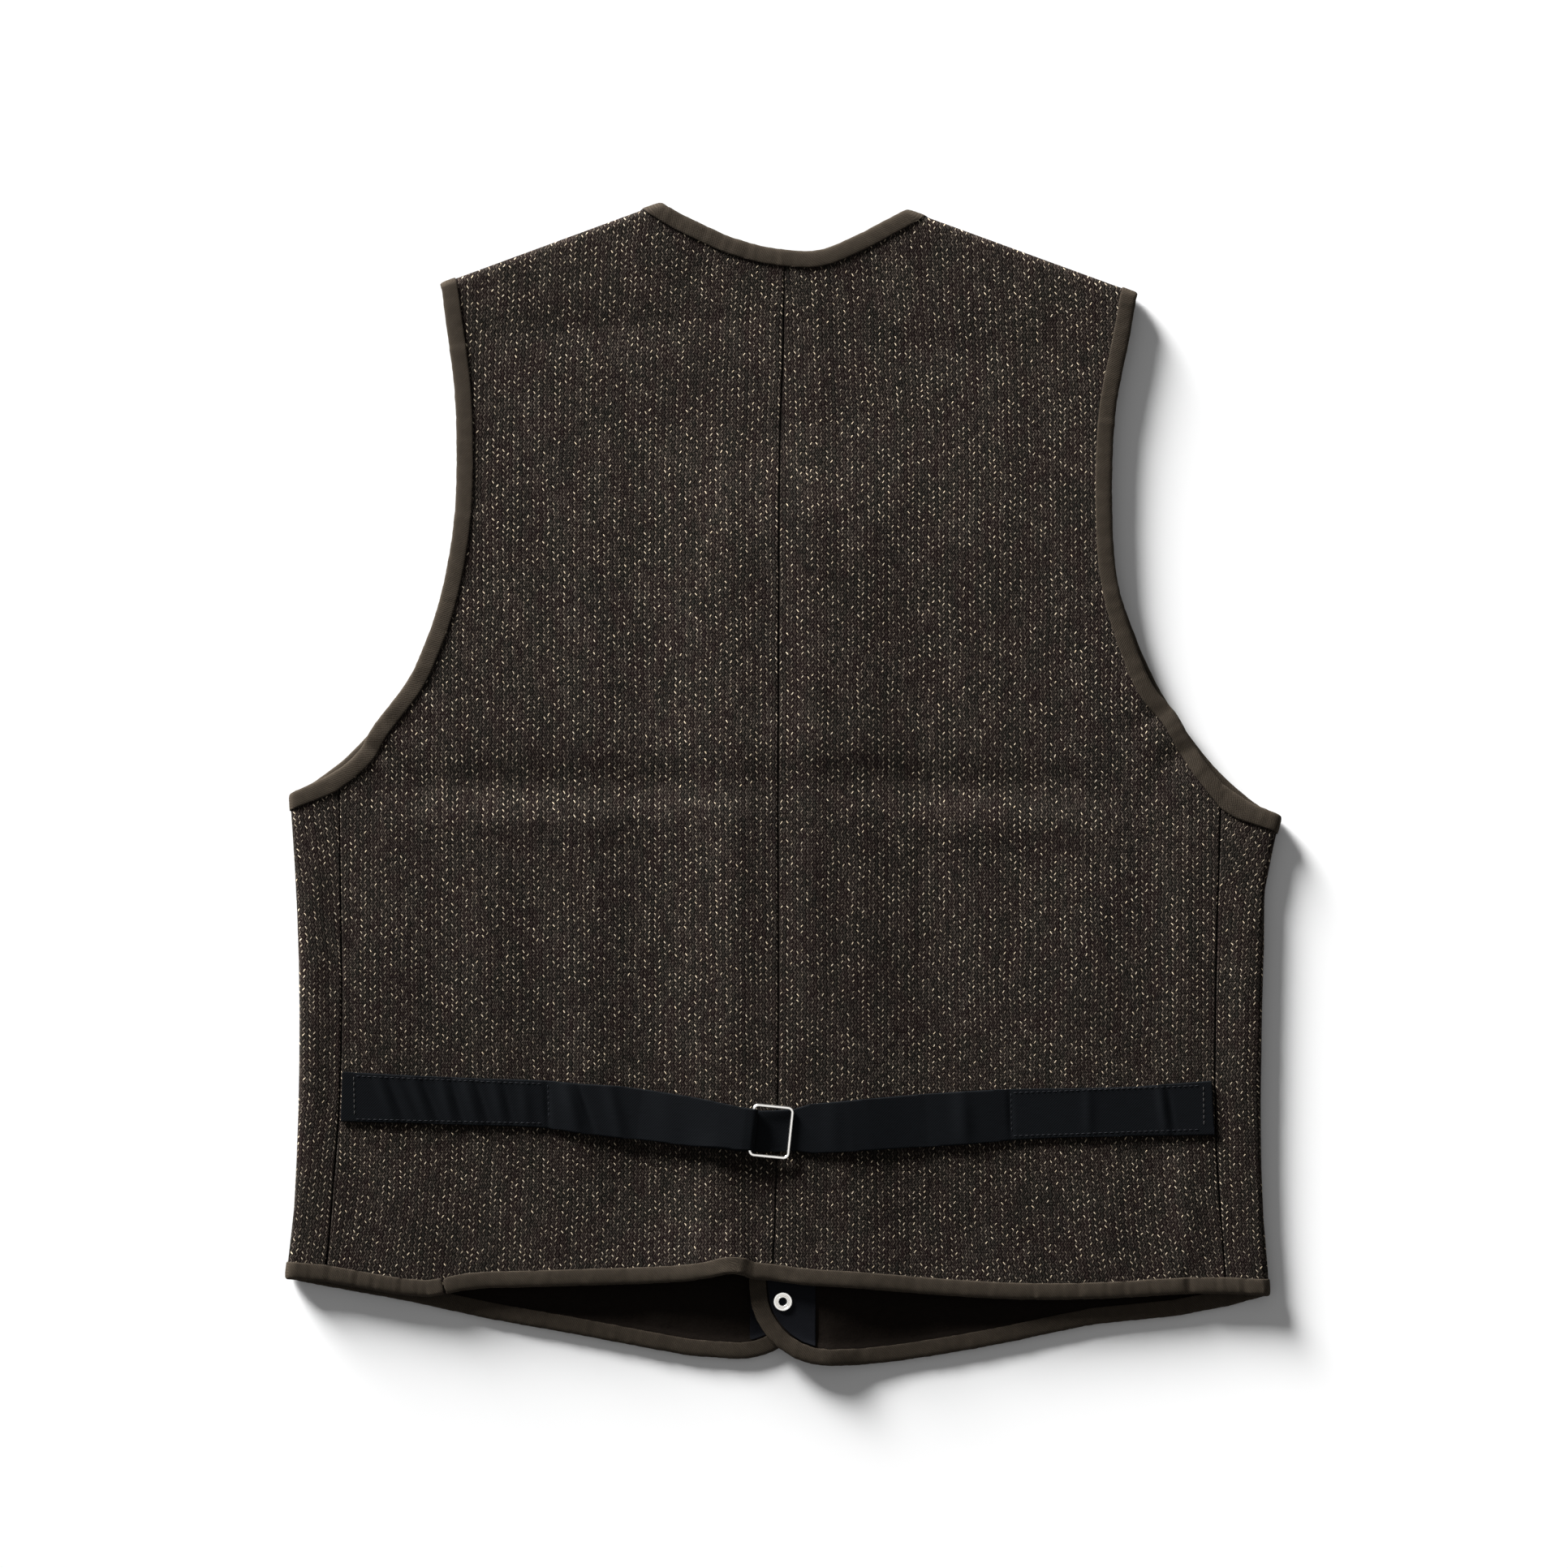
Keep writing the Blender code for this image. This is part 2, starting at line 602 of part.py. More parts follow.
class Front(Panel):
    """A front with its side, which rolls round onto the back as far as the side seam."""

    outer = -1.0         # its geometric normal points into the garment
    slant = -NECK_SLANT
    rings = (LEVEL_IN, DOWN_IN)

    def __init__(self, side):
        armhole_end = shoulder_stations(side, SHOULDER_TIP)
        neck_end = shoulder_stations(side, NECK_POINT, self.slant)
        v_neck = smooth_line((("shoulder", *neck_end[0]),) + V_NECK[side], 2 * EDGE_STEP)
        arc = corner_arc(side, FRONT_LOW[side])
        edge = spread(v_neck[-1], arc[0], STRAIGHT_STEP)
        hem = smooth_line(FRONT_HEM[side], 1.5 * EDGE_STEP)
        side_hem = unfold(side, smooth_line(SIDE_HEM[side], EDGE_STEP))[::-1]
        hem_roll = fold_stations(side, FRONT_HEM[side][-1][1:], SIDE_HEM[side][-1][1:], 0.0)
        seam = unfold(side, smooth_line(SIDE_SEAM[side], SEAM_STEP))
        side_armhole = unfold(side, smooth_line(SIDE_ARMHOLE[side], EDGE_STEP))
        fold_row = FRONT_ARMHOLE_FOLD[side]
        armhole_roll = fold_stations(
            side, fold_row[1:], SIDE_ARMHOLE[side][-1][1:], UNDERARM_SAG[side]
        )
        armhole_rows = (fold_row,) + FRONT_ARMHOLE[side] + (("shoulder", *armhole_end[0]),)
        armhole = smooth_line(armhole_rows, 1.3 * EDGE_STEP)
        super().__init__(side, (
            ("front", True, np.vstack([
                neck_end[:0:-1], v_neck[:-1], edge[:-1], arc[:-1], hem[:-1],
                hem_roll, side_hem[1:],
            ])),
            ("side", False, seam),
            ("armhole", True, np.vstack([
                side_armhole[:-1], armhole_roll[::-1], armhole[1:], armhole_end[1:],
            ])),
            ("shoulder", False, spread(armhole_end[-1], neck_end[-1], SEAM_STEP)),
        ))
        along = shoulder_frame(side)[0]
        self.turn_inset(armhole_end, along)
        self.turn_inset(neck_end, -along * NECK_SPREAD)
        self.turn_inset(hem_roll, roll_direction(side, hem_roll, 1.0))
        self.turn_inset(armhole_roll, roll_direction(side, armhole_roll, -1.0))
        self.hem_roll, self.armhole_roll = hem_roll, armhole_roll

    def lay(self, flat):
        sign = SIGN[self.side]
        laid, lift = self.roll_shoulder(flat)
        start = fold_start(self.side, flat[:, 1])
        past = sign * flat[:, 0] - start
        turn = np.clip(past / ROLL, 0, pi)
        beyond = np.maximum(past - pi * ROLL, 0)
        rolled = start + ROLL * np.sin(turn) - beyond
        laid[:, 0] = np.where(past > 0, sign * rolled, laid[:, 0])
        under = self.floor_height(flat, past) + lift + ROLL * (1 - np.cos(turn))
        height = np.where(past >= pi * ROLL, back_height(laid), under)
        return np.column_stack([laid, height])

    def floor_height(self, flat, past_fold):
        """Middle of the lower layer: on the floor, and level with its bound edges."""
        bound = np.clip(
            (DOWN_IN - self.edge_distance(flat)) / (DOWN_IN - LEVEL_IN), 0, 1
        )
        fold = ramp(-past_fold, 0, ROLL_EASE)
        shoulder = ramp(-self.past_shoulder(flat), 0, ROLL_EASE)
        lift = np.maximum(np.maximum(bound, fold), shoulder)
        height = LOW + (BIND_HALF - LOW) * lift
        if self.side == "right":
            over = ramp(flat[:, 0], OVERLAP_NEAR, OVERLAP_FAR)
            over = over * ramp(flat[:, 1], OVERLAP_FULL_Y, OVERLAP_END_Y)
            height = height + OVERLAP_LIFT * over
        return height

    def fold_lines(self):
        """Lines along the shoulder and side rolls that the cloth's facets follow."""
        lines = shoulder_lines(self)
        low, high = self.index_of(self.hem_roll), self.index_of(self.armhole_roll)
        for low_i, high_i in zip(low, high):
            lines.append(self.line_between(low_i, high_i))
        ease = self.line_between(low[0], high[0])
        ease[:, 0] -= SIGN[self.side] * ROLL_EASE
        lines.append(ease[3:-3])
        lines += self.facing_lines()
        return lines

    def facing_lines(self):
        """Top and inner side of the snap facing."""
        edge_x, top_y = V_NECK[self.side][-1][1:]
        inner = edge_x + SIGN[self.side] * FACING_WIDTH
        low = FRONT_LOW[self.side] + LEVEL_IN
        side_line = spread((inner, top_y), (inner, low - OVERRUN), SEAM_STEP)
        inside = self.edge_distance(side_line) > LEVEL_IN
        side_line = side_line[inside]
        foot = self.hem_crossing(inner)
        top = np.array([[edge_x + SIGN[self.side] * LEVEL_IN, top_y], [inner, top_y]])
        return [np.vstack([side_line, foot]), top]

    def hem_crossing(self, across):
        """Point of the first inset line of the hem at a place across."""
        ring = self.inset(LEVEL_IN)[self.run("front")]
        low = ring[ring[:, 1] < FRONT_LOW[self.side] + FRONT_CORNER_RADIUS[self.side]]
        order = np.argsort(low[:, 0])
        return [across, np.interp(across, low[order, 0], low[order, 1])]

    def line_between(self, low, high):
        """Points from one outline point to another, with the inset rings' among them."""
        ends = [self.inset(depth) for depth in (TAPE + GAP, LEVEL_IN, DOWN_IN)]
        lower = [ring[low] for ring in ends]
        upper = [ring[high] for ring in ends]
        rise = spread((0.0, lower[-1][1]), (0.0, upper[-1][1]), SEAM_STEP)[1:-1]
        past = SIGN[self.side] * self.points[low][0] - fold_start(self.side, self.points[low][1])
        out = fold_start(self.side, rise[:, 1]) + past
        middle = np.column_stack([SIGN[self.side] * out, rise[:, 1]])
        return np.vstack([lower, middle, upper[::-1]])

    def fine(self, points):
        return np.zeros(len(points), bool)

    def in_facing(self, points):
        """Points under the snap facing."""
        edge_x, top_y = V_NECK[self.side][-1][1:]
        inward = SIGN[self.side] * (points[:, 0] - edge_x)
        within = (inward < FACING_WIDTH) & (points[:, 1] < top_y)
        return within & (self.edge_distance(points) > LEVEL_IN)


def spread(start, end, step):
    """Evenly spaced points from start to end."""
    start, end = np.asarray(start, float), np.asarray(end, float)
    count = max(1, ceil(np.linalg.norm(end - start) / step))
    return start + (end - start) * np.linspace(0, 1, count + 1)[:, None]


def shoulder_lines(panel):
    """Lines along the facets of a shoulder roll, seam excepted."""
    tips = shoulder_stations(panel.side, SHOULDER_TIP)
    necks = shoulder_stations(panel.side, NECK_POINT, panel.slant)
    along = shoulder_frame(panel.side)[0]
    depths = (TAPE + GAP, *panel.rings)
    lines = []
    for tip, neck in zip(tips[:-1], necks[:-1]):
        marks = [tip + along * depth for depth in depths]
        ends = [neck - along * NECK_SPREAD * depth for depth in reversed(depths)]
        middle = spread(marks[-1], ends[0], SEAM_STEP)[1:-1]
        lines.append(np.vstack([marks, middle, ends]))
    return lines


# ---------------------------------------------------------------- meshes

def outline_with_ring_ends(panel):
    """The cloth's own edge, with points added on seams where inset rings end."""
    edge = panel.inset(TAPE + GAP)
    rings = [panel.inset(depth) for depth in panel.rings]
    loop = []
    for i, point in enumerate(edge):
        into_bound = panel.bound[i] and not panel.bound[i - 1]
        out_of_bound = panel.bound[i - 1] and not panel.bound[i]
        if into_bound:
            loop += [ring[i] for ring in reversed(rings)]
        loop.append(point)
        if out_of_bound:
            loop += [ring[i] for ring in rings]
    return np.array(loop)


def grid_points(panel, loop):
    """Staggered points across the cloth, closer together where it is pinched."""
    low, high = loop.min(axis=0), loop.max(axis=0)
    kept = []
    for step, wanted in ((CLOTH_STEP, False), (FINE_STEP, True)):
        rows = np.arange(low[1] + step / 2, high[1], step * ROW_SHARE)
        for number, up in enumerate(rows):
            across = np.arange(low[0] + step * (0.25 + 0.5 * (number % 2)), high[0], step)
            points = np.column_stack([across, np.full(len(across), up)])
            points = points[panel.fine(points) == wanted]
            clear = panel.edge_distance(points) > DOWN_IN + step * CLEAR_SHARE
            kept.append((points[clear & inside(points, loop)], step))
    return kept


def inside(points, loop):
    """Which points lie inside a closed outline."""
    hits = np.zeros(len(points), bool)
    for (x0, y0), (x1, y1) in zip(loop, np.roll(loop, -1, axis=0)):
        spans = (y0 > points[:, 1]) != (y1 > points[:, 1])
        crossing = x0 + (points[:, 1] - y0) * (x1 - x0) / (y1 - y0 if y1 != y0 else 1)
        hits ^= spans & (points[:, 0] < crossing)
    return hits


def cut_cloth(panel):
    """Flat points and triangles of a panel."""
    loop = outline_with_ring_ends(panel)
    lines = [np.vstack([loop, loop[:1]])]
    for name in dict.fromkeys(panel.names):
        run = panel.run(name)
        if panel.bound[run[0]]:
            lines += [panel.inset(depth)[run] for depth in panel.rings]
    lines += panel.fold_lines()
    points, edges = [], []
    for line in lines:
        first = len(points)
        points += list(line)
        edges += [(first + k, first + k + 1) for k in range(len(line) - 1)]
    starts = np.array([points[a] for a, _ in edges])
    ends = np.array([points[b] for _, b in edges])
    for loose, step in grid_points(panel, loop):
        clear = distance_to_edges(loose, starts, ends) > step * CLEAR_SHARE
        points += list(loose[clear])
    coords = [Vector(point) for point in points]
    verts, _, faces, *_ = delaunay_2d_cdt(coords, edges, [], 1, MERGE_WITHIN)
    flat = np.array([vert[:] for vert in verts])
    faces = np.array([face for face in faces if len(face) == 3])
    run_a, run_b = flat[faces[:, 1]] - flat[faces[:, 0]], flat[faces[:, 2]] - flat[faces[:, 0]]
    clockwise = np.cross(run_a, run_b) < 0
    faces[clockwise] = faces[clockwise][:, ::-1]
    return flat, faces


def rim_edges(faces):
    """Edges that only one triangle uses, in that triangle's direction."""
    used = {(a, b) for face in faces for a, b in zip(face, np.roll(face, -1))}
    return [(a, b) for a, b in used if (b, a) not in used]


def wall(flat, faces, panel, thickness, lift=0.0):
    """Closed wall of cloth about a panel's middle surface, moved out by lift."""
    used, inverse = np.unique(faces, return_inverse=True)
    faces = inverse.reshape(faces.shape)
    flat = flat[used]
    middle, normal = panel.lay(flat), panel.normals(flat)
    upper = middle + normal * (lift + thickness / 2)
    lower = middle + normal * (lift - thickness / 2)
    count = len(flat)
    polygons = [tuple(face) for face in faces]
    polygons += [tuple(face[::-1] + count) for face in faces]
    polygons += [(a + count, b + count, b, a) for a, b in sorted(rim_edges(faces))]
    return np.vstack([upper, lower]), polygons


def tube(rings, closed=False, end=None):
    """Closed skin through rings of points, its ends capped unless it is a loop."""
    count, sides = len(rings), len(rings[0])
    polygons = []
    for i in range(count if closed else count - 1):
        here, there = i * sides, (i + 1) % count * sides
        for j in range(sides):
            k = (j + 1) % sides
            polygons.append((here + j, here + k, there + k, there + j))
    if not closed:
        for cap in end or (tuple(range(sides)),):
            polygons.append(cap[::-1])
            polygons.append(tuple((count - 1) * sides + j for j in cap))
    return np.vstack(rings), polygons


def bring_out(points, polygons):
    """Polygons turned so that the closed shape's faces point outwards."""
    volume = 0.0
    for polygon in polygons:
        corners = points[list(polygon)]
        for b, c in zip(corners[1:-1], corners[2:]):
            volume += corners[0] @ np.cross(b, c)
    return polygons if volume > 0 else [polygon[::-1] for polygon in polygons]


MATERIALS = {}


def finish(name):
    """The material of a finish, made once."""
    if name not in MATERIALS:
        colour, roughness, metallic = FINISHES[name]
        material = bpy.data.materials.new(name)
        material.use_nodes = True
        shader = material.node_tree.nodes["Principled BSDF"]
        shader.inputs["Base Color"].default_value = (*colour, 1.0)
        shader.inputs["Roughness"].default_value = roughness
        shader.inputs["Metallic"].default_value = metallic
        MATERIALS[name] = material
    return MATERIALS[name]


def add_object(name, points, polygons, material):
    """A mesh object from points in millimetres."""
    mesh = bpy.data.meshes.new(name)
    rows = [tuple(float(v) * MM for v in point) for point in points]
    polygons = [tuple(int(v) for v in polygon) for polygon in polygons]
    mesh.from_pydata(rows, [], polygons)
    mesh.materials.append(finish(material))
    mesh.shade_smooth()
    mesh.set_sharp_from_angle(angle=radians(40))
    item = bpy.data.objects.new(name, mesh)
    bpy.context.scene.collection.objects.link(item)
    return item


# ---------------------------------------------------------------- sewn pieces

# Binding in section: depth in from the finished edge, height off the cloth's middle.
CHANNEL = WALL / 2 + GAP
BINDING_SECTION = (
    (BIND_WIDTH, BIND_HALF),
    (TAPE_BEVEL, BIND_HALF),
    (0.0, BIND_HALF - TAPE_DROP),
    (0.0, TAPE_DROP - BIND_HALF),
    (TAPE_BEVEL, -BIND_HALF),
    (BIND_WIDTH, -BIND_HALF),
    (BIND_WIDTH, -CHANNEL),
    (TAPE, -CHANNEL),
    (TAPE, CHANNEL),
    (BIND_WIDTH, CHANNEL),
)
BINDING_END = ((9, 0, 1, 8), (8, 1, 2), (8, 2, 3, 7), (7, 3, 4), (7, 4, 5, 6))


def binding_rings(panel, indices):
    """Sections of the binding at a run of a panel's outline points."""
    columns = []
    level = panel.inset(LEVEL_IN / 2)[indices]
    normal = panel.normals(level) * panel.outer
    for depth, height in BINDING_SECTION:
        middle = panel.lay(panel.inset(depth)[indices])
        columns.append(middle + normal * height)
    return [np.array(ring) for ring in zip(*columns)]


def part_of(indices, panel, place, keep):
    """The run's points up to a place ("before") or from it on ("after")."""
    found = int(np.argmin(np.linalg.norm(panel.points[indices] - place, axis=1)))
    return indices[:found + 1] if keep == "before" else indices[found:]


def trim(ring, towards):
    """A section moved half a gap along its strip, clear of the next strip's end."""
    step = towards.mean(axis=0) - ring.mean(axis=0)
    return ring + step / np.linalg.norm(step) * GAP / 2


def add_binding(name, rings):
    points, polygons = tube(rings, end=BINDING_END)
    add_object(name, points, bring_out(points, polygons), "tape")


def make_cloth(panels):
    for name, panel in panels.items():
        flat, faces = cut_cloth(panel)
        points, polygons = wall(flat, faces, panel, WALL)
        add_object(name, points, bring_out(points, polygons), "knit")
        if isinstance(panel, Front):
            centres = flat[faces].mean(axis=1)
            strip = faces[panel.in_facing(centres)]
            lift = WALL / 2 + GAP + FACING / 2
            points, polygons = wall(flat, strip, panel, FACING, lift)
            side_name = f"facing_{panel.side}"
            add_object(side_name, points, bring_out(points, polygons), "facing")


def make_bindings(panels):
    back = {side: panels[f"back_{side}"] for side in SIGN}
    front = {side: panels[f"front_{side}"] for side in SIGN}
    for side in SIGN:
        rings = binding_rings(back[side], back[side].run("armhole")[::-1])
        rings += binding_rings(front[side], front[side].run("armhole"))
        add_binding(f"binding_armhole_{side}", rings)
    neck = binding_rings(back["left"], back["left"].run("neck"))
    neck += binding_rings(back["right"], back["right"].run("neck")[::-1])
    add_binding("binding_neck_back", neck)

    join = np.array(TAPE_JOIN[1:])
    left_hem = back["left"].run("hem")
    inner = binding_rings(back["left"], part_of(left_hem, back["left"], join, "before"))
    outer = binding_rings(back["left"], part_of(left_hem, back["left"], join, "after"))
    inner[-1] = trim(inner[-1], inner[-2])
    outer[0] = trim(outer[0], outer[1])
    left = binding_rings(front["left"], front["left"].run("front")) + outer[::-1]
    add_binding("binding_front_left", left)
    right = binding_rings(front["right"], front["right"].run("front"))
    right += binding_rings(back["right"], back["right"].run("hem"))[::-1] + inner
    add_binding("binding_front_right", right)


# ---------------------------------------------------------------- strap and buckle

def band(path, widths, across):
    """A strip of webbing: middle points, widths, and the direction of each width."""
    along = np.gradient(path, axis=0)
    normal = np.cross(along, across)
    normal /= np.linalg.norm(normal, axis=1)[:, None]
    half = across * np.asarray(widths)[:, None] / 2
    thick = normal * STRAP / 2
    rings = zip(path + half + thick, path - half + thick, path - half - thick, path + half - thick)
    return tube([np.array(ring) for ring in rings])


def strap_path(rows):
    """Middle of a strap, in place over the cloth, and its widths."""
    plan = smooth_line(rows, STRAP_STEP)
    places, heights, widths = np.array(sorted((row[1], *row[3:]) for row in rows)).T
    above = np.interp(plan[:, 0], places, heights)
    path = np.column_stack([plan, back_height(plan) + above])
    return path, np.interp(plan[:, 0], places, widths)


def width_directions(path):
    """Level directions across a strap's path."""
    along = np.gradient(path[:, :2], axis=0)
    across = np.column_stack([-along[:, 1], along[:, 0], np.zeros(len(path))])
    across /= np.linalg.norm(across, axis=1)[:, None]
    return across * np.sign(across[:, 1:2])


def bar_places():
    """Middles of the buckle's left and right bars."""
    plan = np.array([BUCKLE_CENTRE[0], BUCKLE_CENTRE[1]])
    reach = BUCKLE_SPAN / 2 * np.array([cos(BUCKLE_TURN), sin(BUCKLE_TURN)])
    cloth = back_height(np.array([plan]))[0] + ON_CLOTH
    right_z = cloth + STRAP / 2 + GAP + WIRE
    turned_z = cloth + STRAP + GAP
    left_z = turned_z + STRAP / 2 + GAP + WIRE
    return np.array([*(plan - reach), left_z]), np.array([*(plan + reach), right_z])


def make_straps():
    left_bar, _ = bar_places()
    forward = np.array([cos(BUCKLE_TURN), sin(BUCKLE_TURN), 0.0])
    side_way = np.array([-sin(BUCKLE_TURN), cos(BUCKLE_TURN), 0.0])
    upward = np.array([0.0, 0.0, 1.0])
    path, widths = strap_path(STRAP_LEFT)
    across = width_directions(path)
    radius = WIRE + GAP + STRAP / 2
    turns = np.linspace(pi / 2, -pi / 2, LOOP_STEPS + 1)
    loop = [left_bar + radius * (forward * cos(t) + upward * sin(t)) for t in turns]
    turned = loop[-1] - forward * TURNED_END
    near = loop[0] - forward * BESIDE_BAR
    path = np.vstack([path, near, loop, turned])
    added = len(path) - len(across)
    across = np.vstack([across, np.tile(side_way, (added, 1))])
    widths = np.concatenate([
        widths[:-1], [(widths[-1] + LOOP_WIDTH) / 2], np.full(added, LOOP_WIDTH)
    ])
    points, polygons = band(path, widths, across)
    add_object("strap_left", points, bring_out(points, polygons), "webbing")

    path, widths = strap_path(STRAP_RIGHT)
    points, polygons = band(path, widths, width_directions(path))
    add_object("strap_right", points, bring_out(points, polygons), "webbing")


def make_buckle():
    """A rectangle of round wire with rounded corners, lying on the strap."""
    left_bar, right_bar = bar_places()
    middle = (left_bar + right_bar) / 2
    across = (right_bar - left_bar) / np.linalg.norm(right_bar - left_bar)
    up = np.array([-sin(BUCKLE_TURN), cos(BUCKLE_TURN), 0.0])
    half_x = np.linalg.norm(right_bar - left_bar) / 2 - BUCKLE_CORNER
    half_y = BUCKLE_HEIGHT / 2 - BUCKLE_CORNER
    path = []
    for corner, (side_x, side_y) in enumerate(((1, 1), (-1, 1), (-1, -1), (1, -1))):
        for turn in np.linspace(0, pi / 2, 4) + corner * pi / 2:
            x = side_x * half_x + BUCKLE_CORNER * cos(turn)
            y = side_y * half_y + BUCKLE_CORNER * sin(turn)
            path.append(middle + across * x + up * y)
    curve = bpy.data.curves.new("buckle", "CURVE")
    curve.dimensions = "3D"
    curve.bevel_depth = WIRE * MM
    curve.bevel_resolution = WIRE_SIDES
    spline = curve.splines.new("POLY")
    spline.points.add(len(path) - 1)
    for point, place in zip(spline.points, path):
        point.co = (*(place * MM), 1.0)
    spline.use_cyclic_u = True
    curve.materials.append(finish("nickel"))
    item = bpy.data.objects.new("buckle", curve)
    bpy.context.scene.collection.objects.link(item)


# ---------------------------------------------------------------- snaps

def turned_ring(profile, centre):
    """A ring turned from a closed profile of radius and height."""
    rings = []
    for turn in np.arange(ROUND_SIDES) * tau / ROUND_SIDES:
        rings.append(np.array([
            (centre[0] + r * cos(turn), centre[1] + r * sin(turn), centre[2] + h)
            for r, h in profile
        ]))
    points, polygons = tube(rings, closed=True)
    return points, bring_out(points, polygons)


def turned_disc(profile, centre):
    """A solid disc turned from the radii and heights of its side."""
    turns = np.arange(ROUND_SIDES) * tau / ROUND_SIDES
    rings = [
        np.array([(centre[0] + r * cos(t), centre[1] + r * sin(t), centre[2] + h) for t in turns])
        for r, h in profile
    ]
    points, polygons = tube(rings)
    return points, bring_out(points, polygons)


def snap_places():
    return [(SNAP_X, float(y)) for y in np.linspace(SNAP_TOP_Y, SNAP_LOW_Y, SNAP_COUNT)]


def make_snaps():
    facing_left_top = LOW + WALL / 2 + GAP + FACING
    facing_right_top = LOW + OVERLAP_LIFT + WALL / 2 + GAP + FACING
    bevel = CAP_HEIGHT / 2
    cap = ((CAP_RADIUS - bevel, 0), (CAP_RADIUS, bevel), (CAP_RADIUS, CAP_HEIGHT))
    socket = ((SOCKET_RADIUS, 0), (SOCKET_RADIUS, SOCKET_HEIGHT))
    ring = (
        (RING_RADIUS, 0),
        (RING_RADIUS, RING_HEIGHT / 2),
        (RING_RADIUS - RING_BEVEL, RING_HEIGHT),
        (RING_HOLE + RING_LIP, RING_HEIGHT - RING_BEVEL / 3),
        (RING_HOLE, 0),
    )
    for number, (x, y) in enumerate(snap_places(), start=1):
        add_object(f"snap_cap_{number}", *turned_disc(cap, (x, y, 0)), "nickel")
        centre = (x, y, facing_left_top + GAP)
        add_object(f"snap_socket_{number}", *turned_disc(socket, centre), "nickel")
        centre = (x, y, facing_right_top + GAP)
        add_object(f"snap_ring_{number}", *turned_ring(ring, centre), "nickel")


def press_caps_in(cloth):
    """Recesses in the left front that the snap caps sit in, flush with its face."""
    side = ((CAP_RADIUS + GAP, -CAP_HEIGHT), (CAP_RADIUS + GAP, CAP_HEIGHT + GAP))
    for number, (x, y) in enumerate(snap_places(), start=1):
        cutter = add_object(f"cap_recess_{number}", *turned_disc(side, (x, y, 0)), "knit")
        cutter.hide_render = True
        cutter.display_type = "WIRE"
        cut = cloth.modifiers.new(f"cap_recess_{number}", "BOOLEAN")
        cut.operation = "DIFFERENCE"
        cut.object = cutter


def main():
    for item in list(bpy.data.objects):
        bpy.data.objects.remove(item, do_unlink=True)
    panels = {
        "back_left": Back("left"),
        "back_right": Back("right"),
        "front_left": Front("left"),
        "front_right": Front("right"),
    }
    make_cloth(panels)
    make_bindings(panels)
    make_straps()
    make_buckle()
    make_snaps()
    press_caps_in(bpy.data.objects["front_left"])


main()
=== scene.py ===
"""Looks of the laid work vest: knit, tape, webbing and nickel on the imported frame."""
from math import atan2, cos, floor, pi, radians, sin, tau

import bmesh
import bpy
import numpy as np
from mathutils import Matrix, Vector


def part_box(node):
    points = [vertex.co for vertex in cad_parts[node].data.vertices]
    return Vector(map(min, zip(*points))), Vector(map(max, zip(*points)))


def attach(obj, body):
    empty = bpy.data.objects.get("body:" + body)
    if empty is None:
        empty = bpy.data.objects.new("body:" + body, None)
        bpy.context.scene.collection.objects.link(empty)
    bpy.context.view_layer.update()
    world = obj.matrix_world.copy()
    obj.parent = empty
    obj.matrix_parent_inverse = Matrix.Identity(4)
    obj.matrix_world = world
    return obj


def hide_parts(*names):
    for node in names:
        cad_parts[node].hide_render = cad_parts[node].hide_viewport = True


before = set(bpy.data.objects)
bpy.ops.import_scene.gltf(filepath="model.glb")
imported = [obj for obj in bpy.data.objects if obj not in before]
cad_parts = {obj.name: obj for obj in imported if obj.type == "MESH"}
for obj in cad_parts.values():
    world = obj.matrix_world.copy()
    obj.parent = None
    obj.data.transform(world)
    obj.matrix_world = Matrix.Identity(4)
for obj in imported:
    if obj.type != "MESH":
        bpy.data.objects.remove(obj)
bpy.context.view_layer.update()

MM = 0.001
BODY = "root"

# ---- The vest's own sizes (mm) ----
ROLL = 2.4              # radius of the folded sides
ROLL_AXIS = 4.2         # height of the middle of the rolls, between the two layers
LAYER_BLEND = 2.0       # height over which the lower layer's creases give way to the upper's
RIB_PITCH = 5.19        # from one pair of fleck columns to the next
COURSE = 3.18           # one course of the knit
CREASE_END = 0.45       # share of its rise that a crease keeps at its two ends

# Half width of the vest where each side begins to roll: up, left, right.
SIDE_ROLL = (
    (-300.0, 253.0, 246.0),
    (-231.0, 249.3, 242.7),
    (-150.0, 245.5, 241.2),
    (-96.0, 245.5, 242.0),
    (-50.0, 247.2, 243.6),
    (-8.0, 250.0, 253.5),
    (60.0, 255.0, 262.0),
)

# Folded shoulders, from the tip to the neck.
SHOULDER = {"left": ((-176.6, 257.1), (-63.1, 298.8)), "right": ((181.2, 252.2), (62.6, 295.4))}

# Seams that run down the back: place, across, up.
CENTRE_SEAM = (
    ("neck", 0.2, 274.6),
    ("yoke", -0.4, 223.5),
    ("shoulder blades", -1.9, 182.0),
    ("chest", -2.7, 111.4),
    ("underarm", -3.1, -13.0),
    ("waist", -2.9, -116.8),
    ("strap", -3.9, -199.8),
    ("hem", -6.0, -252.9),
)

